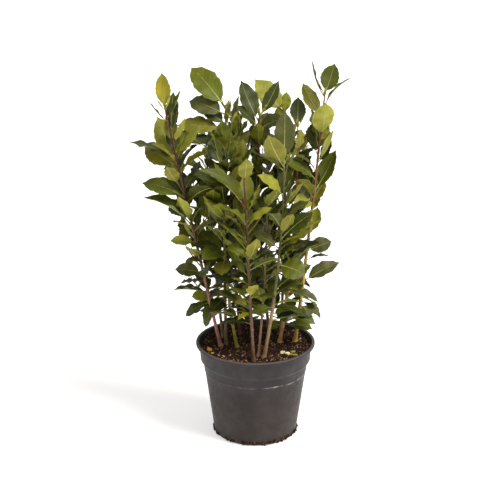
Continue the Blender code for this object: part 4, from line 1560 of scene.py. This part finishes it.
def limb_tube(limb, steps, sides, roughness):
    """A closed tube round a limb, a little uneven."""
    verts = []
    along = (limb.end - limb.start).normalized()
    aside = along.orthogonal().normalized()
    for step in range(steps + 1):
        radius = limb.radius(step / steps)
        skin = Skin(radius * roughness, 500, 2)
        verts += ring_points(limb.at(step / steps), radius, sides, (aside, along.cross(aside)), skin)
    return verts, tube_faces(steps + 1, sides)


def make_stub():
    """The short pruned stub on the leftmost stem, in dead dark bark."""
    root = whole_plant().lines[STUB_SHOOT - 1].at_height(STUB_HEIGHT * MM)
    reach = Vector(STUB_LEAN).normalized() * STUB_LENGTH
    stub = Limb(root, root + reach / 2, root + reach, STUB_RADIUS, STUB_RADIUS * 0.8)
    obj = mesh_object("pruned_stub", *limb_tube(stub, 6, 8, 0.12))
    finish_piece(smooth(obj, 50, drifting_material("dead bark", DEAD_BARK, 0.75)), "bark")


def make_side_twigs():
    """All side twigs as one piece, each a thin tapering tube from its stem."""
    verts, faces = [], []
    for twig in (twig for twigs in whole_plant().twigs for twig in twigs):
        new_verts, new_faces = limb_tube(twig, 7, 6, 0.1)
        faces += [tuple(k + len(verts) for k in face) for face in new_faces]
        verts += new_verts
    obj = mesh_object("side_twigs", verts, faces)
    finish_piece(smooth(obj, 60, drifting_material("green twig", TWIG_GREEN, 0.5)), "leaf")


# Leaf forms


class LeafForm(NamedTuple):
    """One modelled leaf: its arch, twist and fold, how blunt it is, and its margin's waves."""

    arch: float
    twist: float
    fold: float
    bluntness: float
    ripple: float
    waves: float
    phase: float

    def outline(self, share):
        """The blade's half width at a share of its length, drawn out to a point at the tip."""
        body = max(0.0, math.sin(math.pi * share**FORM_BROADEST)) ** self.bluntness
        return body * min(1.0, (1 - share) / FORM_POINT) ** 0.6

    def arched(self, along):
        return self.arch * FORM_LENGTH * 4 * along * (1 - along)

    def point(self, share, side, lift=0.0):
        """A point of the blade: its share of the blade's length, and its side from -1 to 1."""
        along = PETIOLE_SHARE + share * (1 - PETIOLE_SHARE)
        outline = self.outline(share)
        half = max(FORM_NARROWEST, FORM_WIDTH / 2 * outline)
        lag = WAVE_LAG if side < 0 else 0
        wave = math.sin(2 * math.pi * self.waves * share + self.phase + lag)
        tooth = FORM_TOOTH if round(share * FORM_STATIONS) % 2 else -FORM_TOOTH
        y = half * side * (1 + tooth * side * side)
        crown = math.sin(math.pi * abs(side)) * FORM_BULGE * half
        z = abs(side) * half * self.fold + crown + wave * self.ripple * side * side * outline + lift
        turn = math.radians(self.twist) * share
        y, z = y * math.cos(turn) - z * math.sin(turn), y * math.sin(turn) + z * math.cos(turn)
        return Vector((FORM_LENGTH * along, y, z + self.arched(along)))


def leaf_form_values(steep, index, settings):
    rng = random.Random(FORM_SEED + 10 * steep + index)
    return LeafForm(
        arch=(ARCH_STEEP if steep else ARCH_LEVEL) * rng.uniform(*FORM_ARCH_SPREAD),
        twist=rng.uniform(*FORM_TWIST),
        fold=rng.uniform(*FORM_FOLD),
        bluntness=rng.uniform(*FORM_BLUNTNESS),
        ripple=settings.margin_wave * rng.uniform(0.5, 1.5),
        waves=rng.uniform(*FORM_WAVES),
        phase=rng.uniform(0, 6.28),
    )


def blade_faces(ring_size, upper, under):
    """The blade's faces, each with its mark: 0 on the upper face and 1 on the underside."""
    tip = FORM_STATIONS * ring_size
    last = tip - ring_size
    marked = []
    for here in range(0, tip, ring_size):
        after = here + ring_size
        for a, b in zip(upper, upper[1:]):
            far = (tip,) if here == last else (after + a, after + b)
            marked.append(((here + a, *far, here + b), 0))
        for a, b in zip(under, under[1:]):
            far = (tip,) if here == last else (after + b, after + a)
            marked.append(((here + a, here + b, *far), 1))
    marked.append(((*upper, *reversed(under[1:-1])), 1))
    return marked


def blade_form(name, form):
    """A leaf blade as one closed thin shell, with its own map and its faces marked upper or under."""
    rows = [(side, 0.0) for side in FORM_COLUMNS]
    rows += [(side, -FORM_THICKNESS * (1 - side * side)) for side in FORM_COLUMNS[1:-1]]
    verts, places = [], []
    for share in (station / FORM_STATIONS for station in range(FORM_STATIONS)):
        verts += [form.point(share, side, lift) for side, lift in rows]
        places += [((side + 1) / 2, share) for side, _ in rows]
    verts.append(form.point(1.0, 0.0))
    places.append((0.5, 1.0))
    upper = list(range(len(FORM_COLUMNS)))
    under = [0, *range(len(upper), len(rows)), upper[-1]]
    marked = blade_faces(len(rows), upper, under)
    obj = mesh_object(name, verts, [face for face, _ in marked])
    uv = obj.data.uv_layers.new(name="UVMap")
    for loop in obj.data.loops:
        uv.data[loop.index].uv = places[loop.vertex_index]
    obj.data.attributes.new("face", "INT", "FACE").data.foreach_set("value", [mark for _, mark in marked])
    return smooth(obj, 75)


def rib_form(name, form, first, last, radii, sides, steps):
    """A tapering rib that follows the middle of the leaf form, between two shares of its length."""
    verts = []
    for step in range(steps + 1):
        along = blend(first, last, step / steps)
        blade_share = max(0.0, (along - PETIOLE_SHARE) / (1 - PETIOLE_SHARE))
        centre = form.point(blade_share, 0.0, -FORM_THICKNESS / 2)
        centre.x = FORM_LENGTH * along
        if along < PETIOLE_SHARE:
            centre.z = form.arched(along)
        verts += ring_points(centre, blend(*radii, step / steps), sides, UPRIGHT)
    return smooth(mesh_object(name, verts, tube_faces(steps + 1, sides)), 60)


def bud_form(name, length, radius, sides=6):
    """A small pointed bud that leans out from its stem."""
    verts, rings = [], len(BUD_PROFILE)
    for along, wide in BUD_PROFILE:
        verts += ring_points(Vector((length * along, 0, 0)), radius * wide, sides, UPRIGHT)
    verts.append((length, 0, 0))
    faces = band_faces(rings, sides) + tip_faces(rings, sides) + [tuple(reversed(range(sides)))]
    return smooth(mesh_object(name, verts, faces), 60)


def make_leaf_forms(settings):
    """The blade forms, and the midrib and stalk that go with each, as three collections."""
    made = {"blade": [], "midrib": [], "stalk": []}
    for steep in (False, True):
        for index in range(FORMS_EACH):
            form = leaf_form_values(steep, index, settings)
            label = f"{'steep' if steep else 'level'} {index}"
            made["blade"].append(blade_form(f"blade {label}", form))
            made["midrib"].append(rib_form(f"midrib {label}", form, **MIDRIB))
            made["stalk"].append(rib_form(f"stalk {label}", form, **STALK))
    return [forms_collection(f"{kind} forms", forms) for kind, forms in made.items()]


# Leaves, each given as an entry (shoot's number, leaf, root)


def leaf_points(name, entries):
    """A point for each leaf, which knows its form, turn, size and tint."""
    forms, tints, sizes, turns = [], [], [], []
    names = list(TINTS)
    for number, leaf, _ in entries:
        rng = random.Random(f"{number} {leaf.height:.2f} {leaf.heading:.1f}")
        forms.append(rng.randrange(FORMS_EACH) + (FORMS_EACH if leaf.rise > STEEP_RISE else 0))
        tints.append(names.index(spray_tint(number, leaf)))
        length = leaf.length * MM / FORM_LENGTH
        sizes += [length, leaf.width * MM / FORM_WIDTH, length]
        turns += list(Matrix(leaf_axes(leaf)).transposed().to_quaternion())
    obj = mesh_object(name, [root for _, _, root in entries], [])
    values = (("form", "INT", forms), ("tint", "INT", tints), ("turn", "QUATERNION", turns))
    for label, kind, numbers in values:
        obj.data.attributes.new(label, kind, "POINT").data.foreach_set("value", numbers)
    obj.data.attributes.new("size", "FLOAT_VECTOR", "POINT").data.foreach_set("vector", sizes)
    return obj


def is_red_stalk(entry):
    """Whether a leaf's stalk is reddish: the upper ones of the red-barked stems."""
    number, leaf, _ = entry
    shoot = SHOOTS[number]
    return number in RED_SHOOTS and leaf.height > blend(shoot.leafy_from, shoot.tip[2], RED_FROM)


def make_ribs(name, entries, forms, label, colour, roughness):
    """One piece of a rib, stalk or bud at every leaf."""
    values = {"Forms": forms, "Material": drifting_material(label, colour, roughness)}
    finish_piece(grown(leaf_points(name, entries), rib_tree(), values), "leaf")


def make_leaves(settings):
    """Every shoot's blades, and all midribs and stalks, the young stalks of red stems in red."""
    blades, midribs, stalks = make_leaf_forms(settings)
    everything = []
    for number, leaves in enumerate(whole_plant().leaves):
        entries = [(number, leaf, root) for leaf, root in leaves]
        everything += entries
        obj = grown(leaf_points(f"leaf_blades_{number + 1:02d}", entries), leaf_tree(), {"Forms": blades})
        finish_piece(obj, "leaf", f"leaves_{number + 1:02d}")
    red = [entry for entry in everything if is_red_stalk(entry)]
    green = [entry for entry in everything if not is_red_stalk(entry)]
    make_ribs("leaf_midribs", everything, midribs, "midrib", RIB_GREEN, 0.5)
    make_ribs("red_leaf_stalks", red, stalks, "red leaf stalks", STALK_RED, 0.45)
    make_ribs("green_leaf_stalks", green, stalks, "green leaf stalks", STALK_GREEN, 0.45)
    drop_forms(blades, midribs, stalks)


def make_buds(length):
    """A bud in the upper angle of each leaf, and one on each growing tip."""
    forms = forms_collection("bud forms", [bud_form("bud", length, length * BUD_SHAPE)])
    longer, wider = TIP_BUD_SIZE
    tip_size = (longer * FORM_LENGTH / MM, wider * FORM_WIDTH / MM)
    entries = []
    for number, shoot in enumerate(SHOOTS):
        for leaf, root in whole_plant().leaves[number]:
            place = root + leaf_axes(leaf)[0] * BUD_OUT
            rise = min(BUD_STEEPEST, leaf.rise + BUD_STEEPER)
            entries.append((number, leaf._replace(rise=rise), place))
        tip = Leaf(shoot.tip[2], 0, TIP_BUD_RISE, *tip_size)
        entries.append((number, tip, whole_plant().lines[number].at(TIP_BUD_AT)))
    make_ribs("buds", entries, forms, "bud", BUD_GREEN, 0.45)
    drop_forms(forms)


# Stage


def add_sun(name, place, spread, colour, power):
    """A soft far light that shines from the side of the given place, alike on the whole floor."""
    light = bpy.data.lights.new(name, "SUN")
    light.angle = math.radians(spread)
    light.color = colour
    light.energy = power
    obj = new_object(name, light)
    obj.location = place
    obj.rotation_euler = (-Vector(place)).to_track_quat("-Z", "Y").to_euler()


def make_world(scene, strength):
    """Even light all round, which the camera itself sees as plain white."""
    world = bpy.data.worlds.new("studio")
    world.use_nodes = True
    tree = world.node_tree
    tree.nodes.clear()
    even = {"Color": (1, 0.985, 0.96, 1), "Strength": strength}
    white = {"Color": (1, 1, 1, 1), "Strength": 1.0}
    mix = tree.nodes.new("ShaderNodeMixShader")
    feed(tree, mix.inputs[0], tree.nodes.new("ShaderNodeLightPath").outputs["Is Camera Ray"])
    feed(tree, mix.inputs[1], result_of(tree, "ShaderNodeBackground", even))
    feed(tree, mix.inputs[2], result_of(tree, "ShaderNodeBackground", white))
    add_node(tree, "ShaderNodeOutputWorld", {"Surface": mix.outputs[0]})
    scene.world = world


def make_camera(scene, stage):
    data = bpy.data.cameras.new("camera")
    data.lens = stage.lens
    data.sensor_width = 36.0
    data.clip_end = 50.0
    camera = new_object("camera", data)
    camera.location = stage.camera_place
    camera.rotation_euler = (math.pi / 2 - stage.camera_pitch, 0, 0)
    scene.camera = camera


def make_stage(scene, stage):
    """The pale floor, two soft lights, the sky and the camera."""
    half = stage.floor_size / 2
    corners = [(-half, -half, 0), (half, -half, 0), (half, half, 0), (-half, half, 0)]
    floor = mesh_object("studio_floor", corners, [(0, 1, 2, 3)])
    floor.data.materials.append(floor_material(stage.glow))
    add_sun("key light", (0.85, -0.48, 1.1), 28, (1, 0.97, 0.91), stage.key_power)
    add_sun("fill light", (-1.0, -0.9, 0.8), 50, (1, 0.98, 0.95), stage.fill_power)
    make_world(scene, stage.sky)
    make_camera(scene, stage)
    scene.view_settings.view_transform = "Standard"


# Settings


def plain_setting(name, description, default):
    return FloatProperty(name=name, description=description, default=default)


def count_setting(name, description, default, least):
    return IntProperty(name=name, description=description, default=default, min=least)


def length_setting(name, description, default):
    kind = {"subtype": "DISTANCE", "unit": "LENGTH"}
    return FloatProperty(name=name, description=description, default=default, **kind)


def colour_setting(description, default):
    kind = {"subtype": "COLOR", "size": 3}
    return FloatVectorProperty(name="Colour", description=description, default=default, **kind)


class BAY_PG_pot(bpy.types.PropertyGroup):
    """How the pot looks."""

    sides: count_setting("Sides", "Facets round the pot", 128, 24)
    colour: colour_setting("Plain colour of the plastic", linear(40, 35, 36))
    roughness: plain_setting("Roughness", "Dullness of the plastic", 0.5)
    dust: plain_setting("Dust", "How much pale dust clouds the wall", 0.14)
    scuff_width: length_setting("Scuff width", "Half the height of the ledge's pale scuff", 1.1 * MM)


class BAY_PG_compost(bpy.types.PropertyGroup):
    """How the compost looks."""

    rings: count_setting("Rings", "Rings of points in the surface", 44, 8)
    spokes: count_setting("Spokes", "Points in each ring", 150, 24)
    density: plain_setting("Crumbs", "Crumbs on each square metre", 190000.0)
    crumb_size: length_setting("Crumb size", "Width of a middling crumb", 2.1 * MM)
    fibre_length: length_setting("Fibre length", "Length of a middling fibre", 7 * MM)
    colour: colour_setting("Plain colour of the peat", linear(68, 40, 22))


class BAY_PG_bark(bpy.types.PropertyGroup):
    """How fine the bark is."""

    sides: count_setting("Sides", "Facets round a stem", 10, 5)
    ring_step: length_setting("Ring step", "Height between two rings of points", 2.2 * MM)
    relief: length_setting("Relief", "Depth of the bark's unevenness", 0.16 * MM)


class BAY_PG_leaves(bpy.types.PropertyGroup):
    """How the leaves and buds look."""

    margin_wave: length_setting("Margin wave", "Height of the waves along a leaf's margin", 1.5 * MM)
    bud_length: length_setting("Bud length", "Length of a bud", 4 * MM)
    gloss: plain_setting("Dullness", "Roughness of a leaf's upper face", 0.38)
    mottling: plain_setting("Mottling", "How far a leaf's colour drifts", 0.45)
    vein_strength: plain_setting("Veins", "How pale the side veins are", 0.22)


class BAY_PG_stage(bpy.types.PropertyGroup):
    """Camera, light and floor."""

    camera_place: FloatVectorProperty(
        name="Camera place",
        description="Where the camera stands",
        subtype="TRANSLATION",
        unit="LENGTH",
        size=3,
        default=(-5.9 * MM, -1517 * MM, 739 * MM),
    )
    camera_pitch: FloatProperty(
        name="Camera pitch",
        description="How far the camera looks below level",
        subtype="ANGLE",
        unit="ROTATION",
        default=math.radians(19.2),
    )
    lens: plain_setting("Lens", "Focal length in millimetres", 108.0)
    floor_size: length_setting("Floor size", "Side of the pale floor", 12.0)
    key_power: plain_setting("Key light", "Strength of the main light", 3.0)
    fill_power: plain_setting("Fill light", "Strength of the fill light", 0.25)
    sky: plain_setting("Sky", "Strength of the even light all round", 0.5)
    glow: plain_setting("Floor glow", "Light that the floor gives itself", 0.46)


# Operators


class BAY_OT_pot(bpy.types.Operator):
    """Make the nursery pot in place of its plain solid"""

    bl_idname = "bay.make_pot"
    bl_label = "Make pot"

    def execute(self, context):
        make_pot(context.scene.bay_pot.sides)
        return {"FINISHED"}


class BAY_OT_compost(bpy.types.Operator):
    """Dress the compost with its surface, crumbs, fibres and lumps"""

    bl_idname = "bay.make_compost"
    bl_label = "Make compost"

    def execute(self, context):
        make_compost(context.scene.bay_compost)
        make_lumps()
        return {"FINISHED"}


class BAY_OT_bark(bpy.types.Operator):
    """Make every stem's bark, from its foot to its growing tip"""

    bl_idname = "bay.make_bark"
    bl_label = "Make bark"

    def execute(self, context):
        for stem in range(len(SHOOTS)):
            make_bark(stem, context.scene.bay_bark)
        make_stub()
        make_side_twigs()
        return {"FINISHED"}


class BAY_OT_leaves(bpy.types.Operator):
    """Make the leaves of every shoot, with their midribs and stalks"""

    bl_idname = "bay.make_leaves"
    bl_label = "Make leaves"

    def execute(self, context):
        make_leaves(context.scene.bay_leaves)
        return {"FINISHED"}


class BAY_OT_buds(bpy.types.Operator):
    """Make the buds above the leaf stalks and on the tips"""

    bl_idname = "bay.make_buds"
    bl_label = "Make buds"

    def execute(self, context):
        make_buds(context.scene.bay_leaves.bud_length)
        return {"FINISHED"}


class BAY_OT_stage(bpy.types.Operator):
    """Set up the pale floor, the soft lights and the camera"""

    bl_idname = "bay.make_stage"
    bl_label = "Make stage"

    def execute(self, context):
        make_stage(context.scene, context.scene.bay_stage)
        return {"FINISHED"}


class BAY_PT_panel(bpy.types.Panel):
    """The laurel's pieces, in the order in which they are made"""

    bl_idname = "BAY_PT_panel"
    bl_label = "Bay laurel"
    bl_space_type = "VIEW_3D"
    bl_region_type = "UI"
    bl_category = "Bay laurel"

    def draw(self, context):
        for operator in OPERATORS:
            self.layout.operator(operator.bl_idname)


SETTINGS = {
    "bay_pot": BAY_PG_pot,
    "bay_compost": BAY_PG_compost,
    "bay_bark": BAY_PG_bark,
    "bay_leaves": BAY_PG_leaves,
    "bay_stage": BAY_PG_stage,
}
OPERATORS = (BAY_OT_pot, BAY_OT_compost, BAY_OT_bark, BAY_OT_leaves, BAY_OT_buds, BAY_OT_stage)
CLASSES = (*SETTINGS.values(), *OPERATORS, BAY_PT_panel)


def register():
    for kind in CLASSES:
        bpy.utils.register_class(kind)
    for name, group in SETTINGS.items():
        setattr(bpy.types.Scene, name, PointerProperty(type=group))


def unregister():
    for name in SETTINGS:
        delattr(bpy.types.Scene, name)
    for kind in reversed(CLASSES):
        bpy.utils.unregister_class(kind)


def main():
    register()
    bpy.ops.bay.make_pot()
    bpy.ops.bay.make_compost()
    bpy.ops.bay.make_bark()
    bpy.ops.bay.make_leaves()
    bpy.ops.bay.make_buds()
    bpy.ops.bay.make_stage()


if __name__ == "__main__":
    main()
